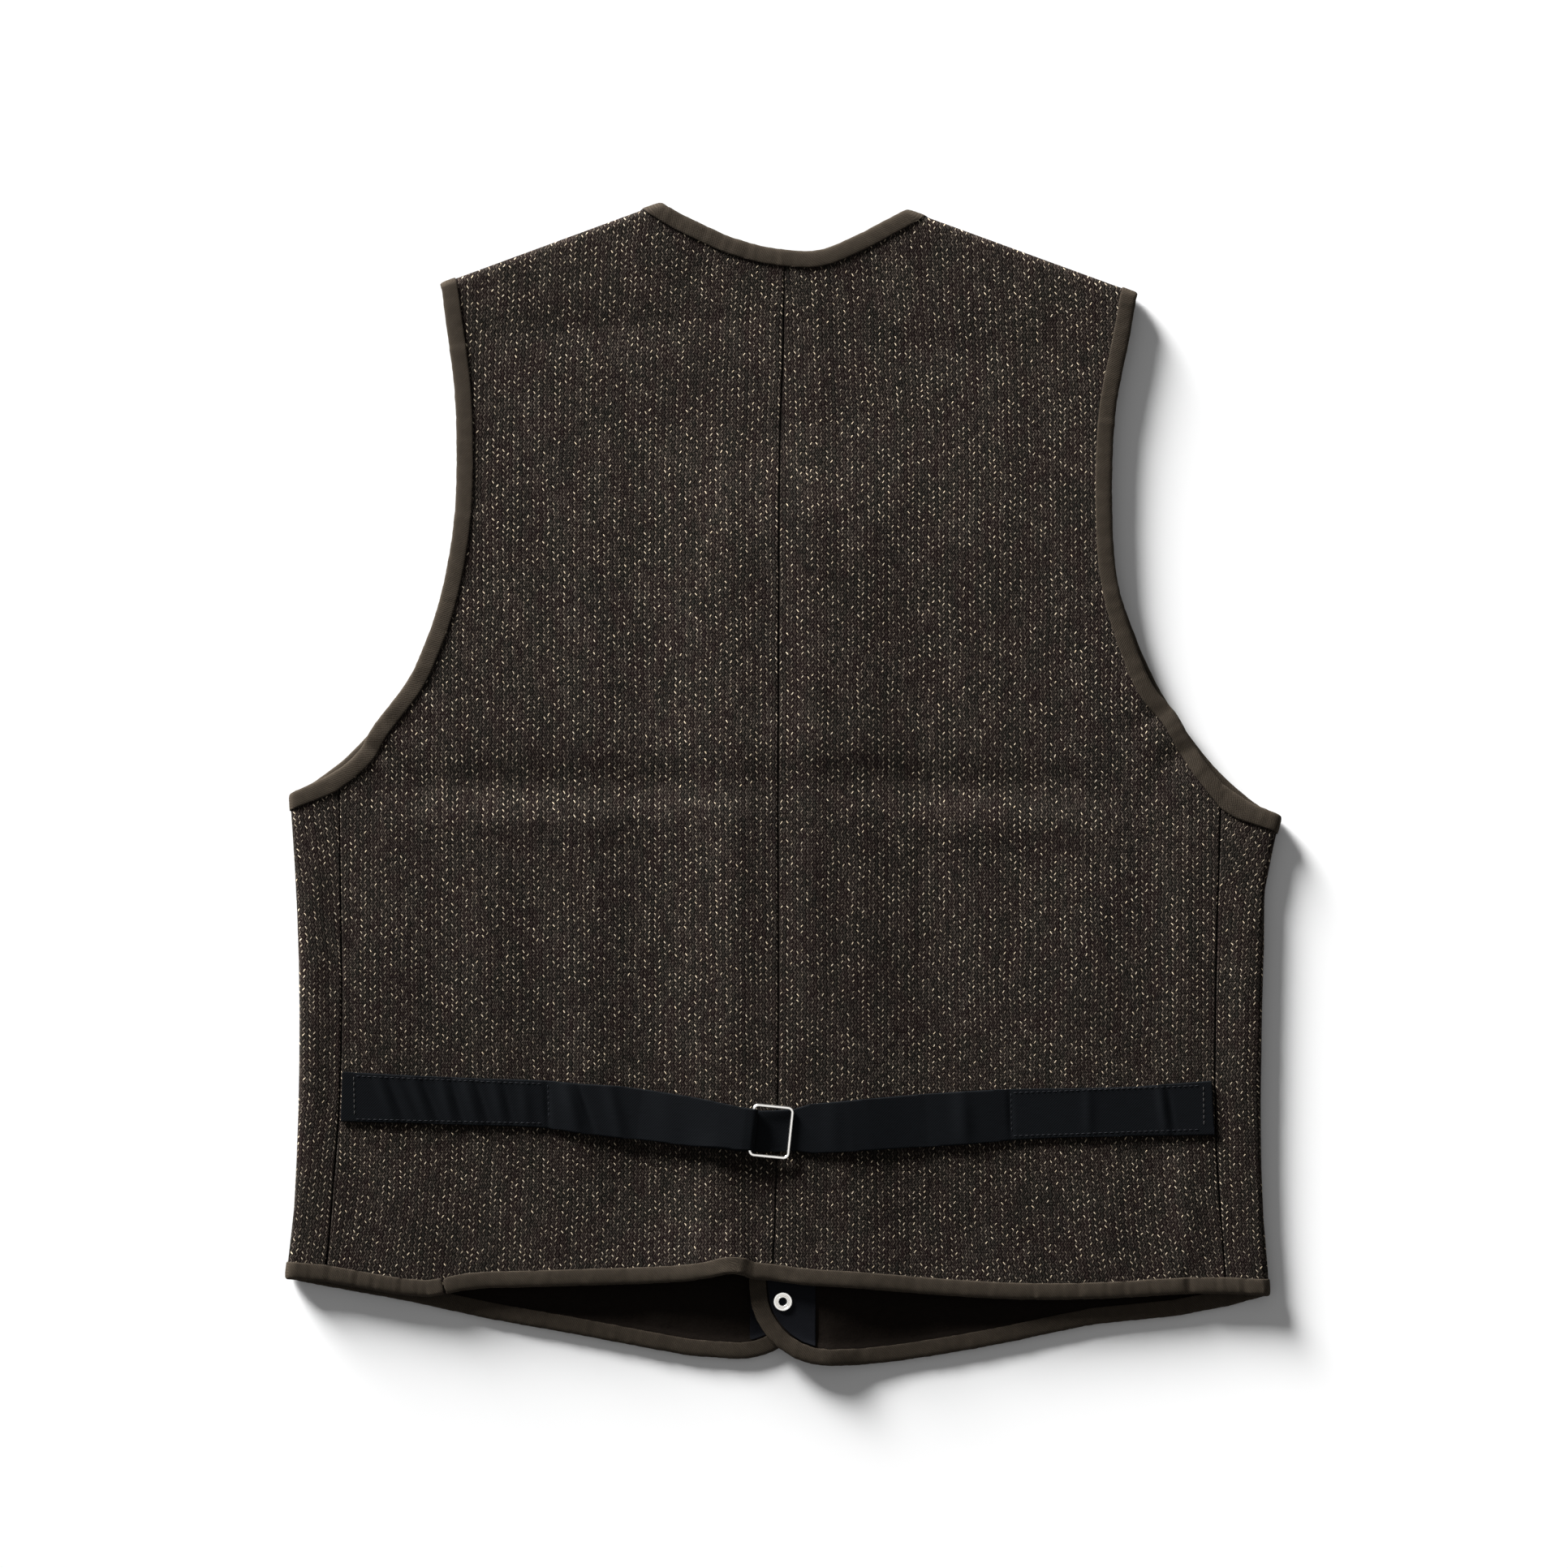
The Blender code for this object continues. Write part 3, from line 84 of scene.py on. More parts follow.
# ---- Creases of the upper layer: place, from x, y, to x, y, half width, rise (mm) ----
BACK_CREASES = (
    ("underarm valley, left", -206.0, 1.0, -60.0, 0.0, 11.0, -1.5),
    ("underarm valley, left of centre", -74.0, 0.0, -6.0, -1.0, 10.0, -0.7),
    ("underarm valley, right of centre", 8.0, 2.0, 56.0, 3.0, 10.0, -0.7),
    ("underarm valley, right", 46.0, 3.0, 160.0, -3.0, 11.0, -1.4),
    ("above the valley, middle", -64.0, 20.0, 66.0, 22.0, 12.0, 0.6),
    ("below the valley, left", -200.0, -18.0, -96.0, -17.0, 10.0, 0.8),
    ("below the valley, middle", -104.0, -17.0, -16.0, -16.0, 10.0, 0.6),
    ("below the valley, right", 44.0, -18.0, 164.0, -21.0, 11.0, 0.7),
    ("drape, left", -90.0, 128.0, -94.0, -244.0, 28.0, 1.5),
    ("drape, right", 90.0, 128.0, 94.0, -246.0, 28.0, 1.6),
    ("drape, far left", -142.0, 120.0, -146.0, -240.0, 32.0, 0.8),
    ("drape, far right", 142.0, 120.0, 146.0, -240.0, 32.0, 0.9),
    ("right of centre, high", 15.0, 208.0, 14.0, 40.0, 10.0, 0.7),
    ("right of centre, low", 14.0, 62.0, 13.0, -130.0, 10.0, 0.9),
    ("left of centre, high", -25.0, 190.0, -26.0, 50.0, 12.0, 0.4),
    ("left of centre, low", -26.0, 40.0, -25.0, -138.0, 11.0, 1.0),
    ("pinch ridge", -41.0, -247.0, -38.0, -188.0, 9.0, 1.5),
    ("pinch trough", -17.0, -247.0, -14.0, -186.0, 7.0, -0.6),
    ("left waist, outer", -205.0, -40.0, -196.0, -134.0, 20.0, 1.3),
    ("left waist", -158.0, -44.0, -146.0, -130.0, 17.0, 1.1),
    ("left waist, inner", -108.0, -62.0, -96.0, -136.0, 16.0, 0.7),
    ("left below strap", -206.0, -196.0, -168.0, -240.0, 16.0, 1.2),
    ("left hem ridge", -138.0, -200.0, -122.0, -244.0, 13.0, 0.9),
    ("left hem trough", -92.0, -206.0, -84.0, -244.0, 12.0, -0.6),
    ("right underarm", 184.0, -8.0, 207.0, 20.0, 7.0, -0.7),
    ("right side, high", 203.0, -30.0, 206.0, -140.0, 9.0, 0.8),
    ("right side, low", 206.0, -190.0, 206.0, -246.0, 8.0, 1.1),
    ("right hem ridge", 160.0, -200.0, 168.0, -248.0, 12.0, 0.7),
    ("right hem trough", 92.0, -212.0, 100.0, -250.0, 13.0, -0.7),
    ("right waist", 150.0, -44.0, 158.0, -132.0, 18.0, 0.7),
    ("right waist, inner", 84.0, -50.0, 90.0, -126.0, 18.0, -0.7),
    ("left neck", -62.0, 262.0, -34.0, 254.0, 10.0, -0.7),
    ("right neck", 38.0, 264.0, 50.0, 250.0, 8.0, -0.6),
    ("left blade", -150.0, 232.0, -24.0, 238.0, 10.0, -0.8),
    ("right blade", 34.0, 226.0, 146.0, 220.0, 12.0, -0.6),
    ("left armhole, high", -166.0, 118.0, -142.0, 96.0, 9.0, -0.6),
    ("left chest", -136.0, 150.0, -110.0, 80.0, 14.0, -0.6),
    ("right chest", 96.0, 150.0, 118.0, 84.0, 15.0, 0.6),
    ("left armhole bend", -196.0, 57.0, -176.0, 46.0, 4.4, -0.8),
    ("left armhole bend, low", -209.0, 37.0, -188.0, 26.0, 4.4, -0.8),
    ("left armhole pull", -220.0, 24.0, -200.0, 14.0, 3.6, -0.9),
    ("right armhole bend", 200.0, 42.0, 179.0, 31.0, 4.6, -0.7),
    ("right armhole bend, low", 212.0, 22.0, 191.0, 11.0, 4.6, -0.6),
    ("left side strip", -240.0, -24.0, -241.0, -200.0, 6.0, 0.7),
    ("right side strip", 234.0, -60.0, 233.0, -190.0, 5.0, 0.5),
    ("right hem tuck", 206.5, -249.0, 208.0, -263.0, 2.8, -0.9),
)

# Creases of the fronts, where the cloth stands a little off the surface.
FRONT_CREASES = (
    ("left chest", -120.0, 130.0, -60.0, 60.0, 10.0, 0.5),
    ("left underarm", -214.0, -8.0, -150.0, -30.0, 8.0, 0.6),
    ("left waist", -190.0, -96.0, -90.0, -112.0, 9.0, 0.4),
    ("left hem", -130.0, -262.0, -96.0, -240.0, 8.0, 0.5),
    ("left hem, inner", -66.0, -282.0, -60.0, -250.0, 7.0, 0.5),
    ("right chest", 118.0, 140.0, 66.0, 74.0, 11.0, 0.4),
    ("right underarm", 216.0, -16.0, 148.0, -26.0, 8.0, 0.6),
    ("right waist", 184.0, -88.0, 100.0, -120.0, 9.0, 0.5),
    ("right hem", 150.0, -268.0, 128.0, -238.0, 8.0, 0.5),
    ("right hem, inner", 82.0, -284.0, 74.0, -252.0, 7.0, 0.6),
)

# Creases pressed into the strap: place, from x, y, to x, y, half width, rise (mm).
STRAP_CREASES = (
    ("ripple 1", -209.0, -147.0, -199.0, -171.0, 2.6, 0.9),
    ("line 1", -204.0, -148.0, -194.0, -171.0, 1.1, -0.45),
    ("ripple 2", -200.0, -147.0, -188.0, -172.0, 2.2, 0.6),
    ("ripple 3", -191.0, -148.0, -181.0, -173.0, 2.8, 1.0),
    ("line 3", -186.0, -150.0, -176.0, -173.0, 1.0, -0.45),
    ("ripple 4", -176.0, -149.0, -169.0, -173.0, 2.6, 0.9),
    ("line 4", -171.0, -150.0, -164.0, -173.0, 1.0, -0.40),
    ("ripple 5", -164.0, -150.0, -156.0, -173.0, 3.0, 1.1),
    ("line 5", -158.5, -150.0, -151.0, -173.0, 1.0, -0.45),
    ("ripple 6", -149.0, -151.0, -143.0, -173.0, 2.6, 0.8),
    ("line 6", -144.0, -152.0, -139.0, -172.0, 0.9, -0.35),
    ("ripple 7", -134.0, -152.0, -131.0, -173.0, 3.0, 0.6),
    ("last stitch, left", -121.5, -150.0, -120.5, -176.0, 1.4, -0.45),
    ("fold", -113.0, -150.0, -105.0, -176.0, 4.0, 1.6),
    ("fold, inner line", -106.0, -151.0, -97.0, -178.0, 1.2, -0.45),
    ("free crease", -90.0, -152.0, -83.0, -180.0, 3.6, 1.0),
    ("free bend", -64.0, -155.0, -56.0, -182.0, 6.0, 0.6),
    ("first stitch, right", 115.0, -154.0, 116.0, -181.0, 1.4, -0.45),
    ("ripple 8", 155.0, -153.0, 156.0, -180.0, 2.6, 0.5),
    ("ripple 9", 191.5, -152.0, 195.5, -178.0, 2.2, 0.9),
    ("line 9", 195.5, -153.0, 199.5, -178.0, 1.0, -0.45),
    ("soft fold", 90.0, -156.0, 93.0, -183.0, 4.0, 0.8),
    ("soft fold, near bar", 24.0, -160.0, 26.0, -188.0, 5.0, 0.5),
)


# ---------------------------------------------------------------- shaping

def crease_height(creases, places):
    """Height (mm) that a table of creases adds at places (mm)."""
    total = np.zeros(len(places))
    for _, x0, y0, x1, y1, half_width, rise in creases:
        start, run = np.array((x0, y0)), np.array((x1 - x0, y1 - y0))
        share = np.clip((places[:, :2] - start) @ run / (run @ run), 0, 1)
        off = np.linalg.norm(places[:, :2] - start - share[:, None] * run, axis=1)
        strength = CREASE_END + (1 - CREASE_END) * np.sin(pi * share)
        total += rise * strength * np.exp(-((off / half_width) ** 2))
    return total


def wander(values, seed):
    """Smooth uneven wave between -1 and 1 along a line."""
    waves = ((0.47, 1.7), (0.83, 4.1), (1.31, 2.3), (2.17, 5.9))
    total = sum(np.sin(values * rate + phase * (seed + 1)) for rate, phase in waves)
    return total / len(waves)


def upper(places):
    """How far each place (mm) belongs to the upper layer, 0 to 1."""
    return np.clip((places[:, 2] - ROLL_AXIS + LAYER_BLEND / 2) / LAYER_BLEND, 0, 1)


def points_of(piece):
    """Vertex places of a piece in mm."""
    rows = np.empty(len(piece.data.vertices) * 3)
    piece.data.vertices.foreach_get("co", rows)
    return rows.reshape(-1, 3) / MM


def move_points(piece, places):
    """Gives a piece's points new places (mm)."""
    piece.data.vertices.foreach_set("co", (places * MM).ravel())
    piece.data.update()


def settle(piece, places):
    """Creases a piece that has its points at places (mm), with none below the surface."""
    above = upper(places)
    lift = above * crease_height(BACK_CREASES, places)
    lift += (1 - above) * crease_height(FRONT_CREASES, places)
    places[:, 2] = np.maximum(places[:, 2] + lift, 0)
    move_points(piece, places)


def normals_of(piece):
    """Which way a piece faces at each of its points."""
    rows = np.empty(len(piece.data.vertices) * 3)
    piece.data.vertices.foreach_get("normal", rows)
    return rows.reshape(-1, 3)


def shoulder_edge(side, places):
    """How far places (mm) lie below the folded shoulder of a side."""
    tip, neck = (np.array(point) for point in SHOULDER[side])
    along = (neck - tip) / np.linalg.norm(neck - tip)
    outward = np.array([-along[1], along[0]])
    return (tip - places[..., :2]) @ (outward * np.sign(outward[1]))


SKIN_END = radians(60)      # a broad side of the cloth ends at an edge that bends more
ROLL_MARGIN = 0.5           # the grid's cuts stop this far before the roll of a side (mm)
SHOULDER_BAND = 4.0         # and this far below a folded shoulder (mm)
SECTION_GAP = 1.2           # points of a tape that lie closer along it are one section (mm)


def skins(bm):
    """The two broad sides of a wall of cloth, each a list of faces, larger first."""
    seen, groups = set(), []
    for first in bm.faces:
        if first in seen:
            continue
        seen.add(first)
        group, front = [], [first]
        while front:
            face = front.pop()
            group.append(face)
            for edge in face.edges:
                if edge.calc_face_angle(pi) > SKIN_END:
                    continue
                for other in edge.link_faces:
                    if other not in seen:
                        seen.add(other)
                        front.append(other)
        groups.append(group)
    groups.sort(key=lambda faces: -sum(face.calc_area() for face in faces))
    return groups[:2]


def cut_across(bm, place, normal, wanted):
    """Cuts the wanted faces of a mesh that an upright plane crosses."""
    start, normal = Vector(place) * MM, Vector(normal)
    faces = []
    for face in bm.faces:
        offs = [(vert.co - start).dot(normal) for vert in face.verts]
        if min(offs) < 0 < max(offs) and wanted(face.calc_center_median() / MM):
            faces.append(face)
    parts = dict.fromkeys(faces)        # in order, so that each run makes the same mesh
    for face in faces:
        parts.update(dict.fromkeys((*face.edges, *face.verts)))
    bmesh.ops.bisect_plane(
        bm, geom=list(parts), dist=1e-6, plane_co=start, plane_no=normal
    )


def on_side(centre):
    """Whether a place (mm) lies on a folded side of the vest."""
    return abs(centre.x) > side_roll(centre.y, -1 if centre.x < 0 else 1) - ROLL_MARGIN


def on_shoulder(centre):
    """Whether a place (mm) lies on a folded shoulder of the vest."""
    side = "left" if centre.x < 0 else "right"
    return shoulder_edge(side, np.array(centre)) < SHOULDER_BAND


def cut_on_grid(bm, cell):
    """Cuts a mesh along evenly spaced upright planes, but not along its folds."""
    low = [min(vert.co[axis] for vert in bm.verts) / MM for axis in (0, 1)]
    high = [max(vert.co[axis] for vert in bm.verts) / MM for axis in (0, 1)]
    for place in np.arange(low[0] + cell / 2, high[0], cell):
        cut_across(bm, (place, 0, 0), (1, 0, 0), lambda centre: not on_side(centre))
    for place in np.arange(low[1] + cell / 2, high[1], cell):
        cut_across(bm, (0, place, 0), (0, 1, 0), lambda centre: not on_shoulder(centre))


def cut_along_route(bm, mapping, cell):
    """Cuts a tape square across between its own sections."""
    places = np.array([vert.co[:] for vert in bm.verts]) / MM
    marks = np.sort(mapping(places)[0])
    sections = marks[np.append(True, np.diff(marks) > SECTION_GAP)]
    for before, after in zip(sections, sections[1:]):
        count = round((after - before) / cell)
        for share in np.linspace(0, 1, max(count, 1) + 1)[1:-1]:
            place, normal = mapping.at(before + (after - before) * share)
            near = Vector((*place, 0))
            cut_across(
                bm, near, (*normal, 0), lambda centre: (centre.xy - near.xy).length < 4 * cell
            )


def show(name, mesh):
    """Puts a mesh in the scene as an object of its own."""
    piece = bpy.data.objects.new(name, mesh)
    bpy.context.scene.collection.objects.link(piece)
    return piece


def pick(piece):
    """Makes a piece the only selected and the active one."""
    for other in bpy.context.selected_objects:
        other.select_set(False)
    piece.select_set(True)
    bpy.context.view_layer.objects.active = piece


def subdivide(piece, rounds):
    """Rounds a piece with applied subdivision."""
    modifier = piece.modifiers.new("Rounding", "SUBSURF")
    modifier.levels = modifier.render_levels = rounds
    pick(piece)
    bpy.ops.object.modifier_apply(modifier=modifier.name)


def smooth(piece):
    """Shades a piece smoothly all over."""
    for polygon in piece.data.polygons:
        polygon.use_smooth = True


MERGE_DISTANCE = 0.01
FLAT_ANGLE, QUAD_ANGLE, QUAD_SHAPE = radians(0.4), radians(12), radians(100)


def merged_copy(node, flat=True):
    """A CAD node's mesh with its loose triangles merged, and joined to larger faces."""
    bm = bmesh.new()
    bm.from_mesh(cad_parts[node].data)
    bmesh.ops.remove_doubles(bm, verts=bm.verts, dist=MERGE_DISTANCE * MM)
    if flat:
        bmesh.ops.dissolve_limit(
            bm, angle_limit=FLAT_ANGLE, verts=bm.verts, edges=bm.edges,
            use_dissolve_boundaries=False,
        )
    bmesh.ops.join_triangles(
        bm, faces=bm.faces, angle_face_threshold=QUAD_ANGLE, angle_shape_threshold=QUAD_SHAPE
    )
    return bm


def finish_copy(bm, name, node):
    """A mesh as a piece that takes its node's place and rides on the body."""
    mesh = bpy.data.meshes.new(name)
    bm.to_mesh(mesh)
    bm.free()
    piece = show(name, mesh)
    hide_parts(node)
    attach(piece, BODY)
    return piece


def cloth_panel(node, name, cell, edge, rounds, outer_up):
    """Cloth in its solid's form: soft edges, points enough to crease, an outside and inside."""
    bm = merged_copy(node)
    sides = skins(bm)
    up = [sum(face.normal.z * face.calc_area() for face in side) for side in sides]
    outer = 0 if (up[0] > up[1]) == outer_up else 1
    for face in set(bm.faces) - set(sides[outer]):
        face.material_index = 1
    for side in sides:
        bmesh.ops.inset_region(bm, faces=side, thickness=edge * MM, use_even_offset=False)
    cut_on_grid(bm, cell)
    piece = finish_copy(bm, name, node)
    subdivide(piece, rounds)
    smooth(piece)
    return piece


# ---------------------------------------------------------------- cloth coordinates

def add_cloth_map(piece, mapping):
    """UV map of a piece: cloth coordinates in metres from its points (mm)."""
    places = points_of(piece)
    across, along = mapping(places)
    layer = piece.data.uv_layers.new(name="Cloth")
    corners = np.empty(len(piece.data.loops), int)
    piece.data.loops.foreach_get("vertex_index", corners)
    rows = np.column_stack([across[corners], along[corners]]) * MM
    layer.data.foreach_set("uv", rows.ravel())


def seam_place(y):
    """Where the centre seam lies at a height."""
    rows = np.array([row[1:] for row in CENTRE_SEAM])[::-1]
    return np.interp(y, rows[:, 1], rows[:, 0])


YOKE, YOKE_LEAN = 140.0, 0.00022        # height where the ribs start to lean in, and how fast
FLARE, FLARE_LEAN = -170.0, 0.0012      # the same below, where they lean out to the sides
BACK_HALF = 220.0                       # half width of the back where the lean out is full


def grain_of_back(places):
    """The ribs lean to the centre seam near the neck and follow the sides below."""
    x, y = places[:, 0], places[:, 1]
    off = x - seam_place(y)
    inward = np.clip(y - YOKE, 0, None) ** 2 * YOKE_LEAN
    outward = np.clip(FLARE - y, 0, None) ** 2 * FLARE_LEAN
    outward *= np.clip(np.abs(off) / BACK_HALF, 0, 1) ** 2
    return x + np.sign(off) * (inward - outward), y


def side_roll(y, sign):
    """How far from the middle a side begins to roll at a height."""
    rows = np.array(SIDE_ROLL)
    return np.interp(y, rows[:, 0], rows[:, 1 if sign < 0 else 2])


STRIP_START = 200.0     # the side panels lie farther out than this on the back
HEM_BAND = -240.0       # a tape's upper run lies below this height on the back


def grain_of_front(sign):
    """Cloth coordinates of a front, which go on round the side roll."""
    def mapping(places):
        out, y, z = sign * places[:, 0], places[:, 1], places[:, 2]
        start = side_roll(y, sign)
        turn = np.arctan2(np.maximum(out - start, 0), ROLL_AXIS - z)
        rolled = start + ROLL * turn
        back = start + ROLL * pi + (start - out)
        on_back = (out < start) & (z > ROLL_AXIS) & (out > STRIP_START)
        across = np.where(out > start, rolled, np.where(on_back, back, out))
        return sign * across, y
    return mapping


class Route:
    """A line in plan that a tape follows. Called, it gives places along and aside."""

    def __init__(self, corners):
        self.corners = np.array(curved(corners))
        self.runs = np.diff(self.corners, axis=0)
        self.lengths = np.linalg.norm(self.runs, axis=1)
        self.before = np.concatenate([[0], np.cumsum(self.lengths)])

    def __call__(self, places):
        flat = places[:, :2]
        best = np.full(len(flat), np.inf)
        along, aside = np.zeros(len(flat)), np.zeros(len(flat))
        for start, run, length, done in zip(
            self.corners, self.runs, self.lengths, self.before
        ):
            share = np.clip((flat - start) @ run / length**2, 0, 1)
            off = flat - start - share[:, None] * run
            distance = np.linalg.norm(off, axis=1)
            nearer = distance < best
            best = np.where(nearer, distance, best)
            along = np.where(nearer, done + share * length, along)
            side = np.sign(off @ np.array([-run[1], run[0]]))
            aside = np.where(nearer, side * distance, aside)
        return along, aside

    def at(self, distance):
        """Place and direction at a distance along the route."""
        i = int(np.clip(np.searchsorted(self.before, distance) - 1, 0, len(self.runs) - 1))
        share = (distance - self.before[i]) / self.lengths[i]
        return self.corners[i] + self.runs[i] * share, self.runs[i] / self.lengths[i]


class TwoLayers:
    """A tape whose lower and upper runs follow their own routes."""

    def __init__(self, lower, upper_route):
        self.lower, self.upper_route = lower, upper_route
        self.turn = lower.before[-1]

    def __call__(self, places):
        above = (places[:, 2] > ROLL_AXIS) & (places[:, 1] < HEM_BAND)
        low_along, low_aside = self.lower(places)
        high_along, high_aside = self.upper_route(places)
        return (
            np.where(above, self.turn + high_along, low_along),
            np.where(above, high_aside, low_aside),
        )

    def at(self, distance):
        if distance > self.turn:
            return self.upper_route.at(distance - self.turn)
        return self.lower.at(distance)


def curved(route, step=6.0):
    """Fine points along a smooth curve through a route's places."""
    points = [Vector((x, y, 0)) for x, y in route]
    fine = []
    for i in range(len(points) - 1):
        a, b = points[max(i - 1, 0)], points[i]
        c, d = points[i + 1], points[min(i + 2, len(points) - 1)]
        count = max(2, int((c - b).length / step))
        for k in range(count):
            t = k / count
            p = 0.5 * ((2 * b) + (c - a) * t + (2 * a - 5 * b + 4 * c - d) * t**2
                       + (3 * b - a - 3 * c + d) * t**3)
            fine.append((p.x, p.y))
    fine.append((points[-1].x, points[-1].y))
    return fine


# ---------------------------------------------------------------- node trees

class Wiring:
    """Adds nodes to a tree and joins them up."""

    def __init__(self, tree):
        self.nodes, self.links = tree.nodes, tree.links

    def put(self, value, socket):
        if isinstance(value, bpy.types.NodeSocket):
            self.links.new(value, socket)
        else:
            socket.default_value = value

    def add(self, kind, **settings):
        node = self.nodes.new(kind)
        for key, value in settings.items():
            setattr(node, key, value)
        return node

    def math(self, operation, *values, clamp=False):
        node = self.add("ShaderNodeMath", operation=operation, use_clamp=clamp)
        for value, socket in zip(values, node.inputs):
            self.put(value, socket)
        return node.outputs[0]

    def times(self, a, b):
        return self.math("MULTIPLY", a, b)

    def plus(self, a, b):
        return self.math("ADD", a, b)

    def minus(self, a, b):
        return self.math("SUBTRACT", a, b)

    def vector(self, x, y, z=0.0):
        node = self.add("ShaderNodeCombineXYZ")
        for value, socket in zip((x, y, z), node.inputs):
            self.put(value, socket)
        return node.outputs[0]

    def parts(self, vector):
        node = self.add("ShaderNodeSeparateXYZ")
        self.put(vector, node.inputs[0])
        return node.outputs[0], node.outputs[1]

    def scaled(self, vector, factor):
        node = self.add("ShaderNodeVectorMath", operation="MULTIPLY")
        self.put(vector, node.inputs[0])
        self.put(factor, node.inputs[1])
        return node.outputs[0]

    def noise(self, vector, scale, detail=2.0, roughness=0.5):
        node = self.add("ShaderNodeTexNoise", noise_dimensions="2D")
        self.put(vector, node.inputs["Vector"])
        self.put(scale, node.inputs["Scale"])
        self.put(detail, node.inputs["Detail"])
        self.put(roughness, node.inputs["Roughness"])
        return node.outputs["Fac"]

    def noise3(self, vector, scale, detail=2.0):
        node = self.add("ShaderNodeTexNoise")
        self.put(vector, node.inputs["Vector"])
        self.put(scale, node.inputs["Scale"])
        self.put(detail, node.inputs["Detail"])
        return node.outputs["Fac"]

    def random(self, x, y, z):
        node = self.add("ShaderNodeTexWhiteNoise", noise_dimensions="3D")
        self.put(self.vector(x, y, z), node.inputs["Vector"])
        return node.outputs["Value"]

    def fade(self, value, low, high, first=0.0, last=1.0):
        """Smooth step from first at low to last at high."""
        node = self.add("ShaderNodeMapRange", interpolation_type="SMOOTHSTEP")
        for given, socket in zip((value, low, high, first, last), node.inputs):
            self.put(given, socket)
        return node.outputs[0]

    def blend(self, share, a, b):
        node = self.add("ShaderNodeMix", data_type="RGBA")
        self.put(share, node.inputs["Factor"])
        self.put(a, node.inputs[6])
        self.put(b, node.inputs[7])
        return node.outputs[2]

    def bump(self, height, strength, distance):
        node = self.add("ShaderNodeBump")
        self.put(height, node.inputs["Height"])
        node.inputs["Strength"].default_value = strength
        node.inputs["Distance"].default_value = distance
        return node.outputs[0]


def new_group(name, inputs, outputs):
    """An empty node group with named sockets, its wiring, and its two ends."""
    group = bpy.data.node_groups.new(name, "ShaderNodeTree")
    for label, kind, value in inputs:
        socket = group.interface.new_socket(label, in_out="INPUT", socket_type=kind)
        if value is not None:
            socket.default_value = value
    for label, kind in outputs:
        group.interface.new_socket(label, in_out="OUTPUT", socket_type=kind)
    wiring = Wiring(group)
    return group, wiring, wiring.add("NodeGroupInput"), wiring.add("NodeGroupOutput")


def use_group(wiring, group, **values):
    """Places a group in a material and sets its inputs by name."""
    node = wiring.add("ShaderNodeGroup", node_tree=group)
    for label, value in values.items():
        wiring.put(value, node.inputs[label.replace("_", " ").capitalize()])
    return node.outputs


def new_material(name, roughness, metallic=0.0, specular=0.5, sheen=0.0):
    """A material with a principled shader, and the wiring of its tree."""
    material = bpy.data.materials.new(name)
    material.use_nodes = True
    shader = material.node_tree.nodes["Principled BSDF"]
    shader.inputs["Roughness"].default_value = roughness
    shader.inputs["Metallic"].default_value = metallic
    shader.inputs["Specular IOR Level"].default_value = specular
    shader.inputs["Sheen Weight"].default_value = sheen
    return material, Wiring(material.node_tree), shader


def rgb(red, green, blue):
    """Linear colour from 0-255 display values."""
    def linear(value):
        share = value / 255
        return share / 12.92 if share <= 0.04045 else ((share + 0.055) / 1.055) ** 2.4
    return (linear(red), linear(green), linear(blue), 1.0)


# ---------------------------------------------------------------- shared effects

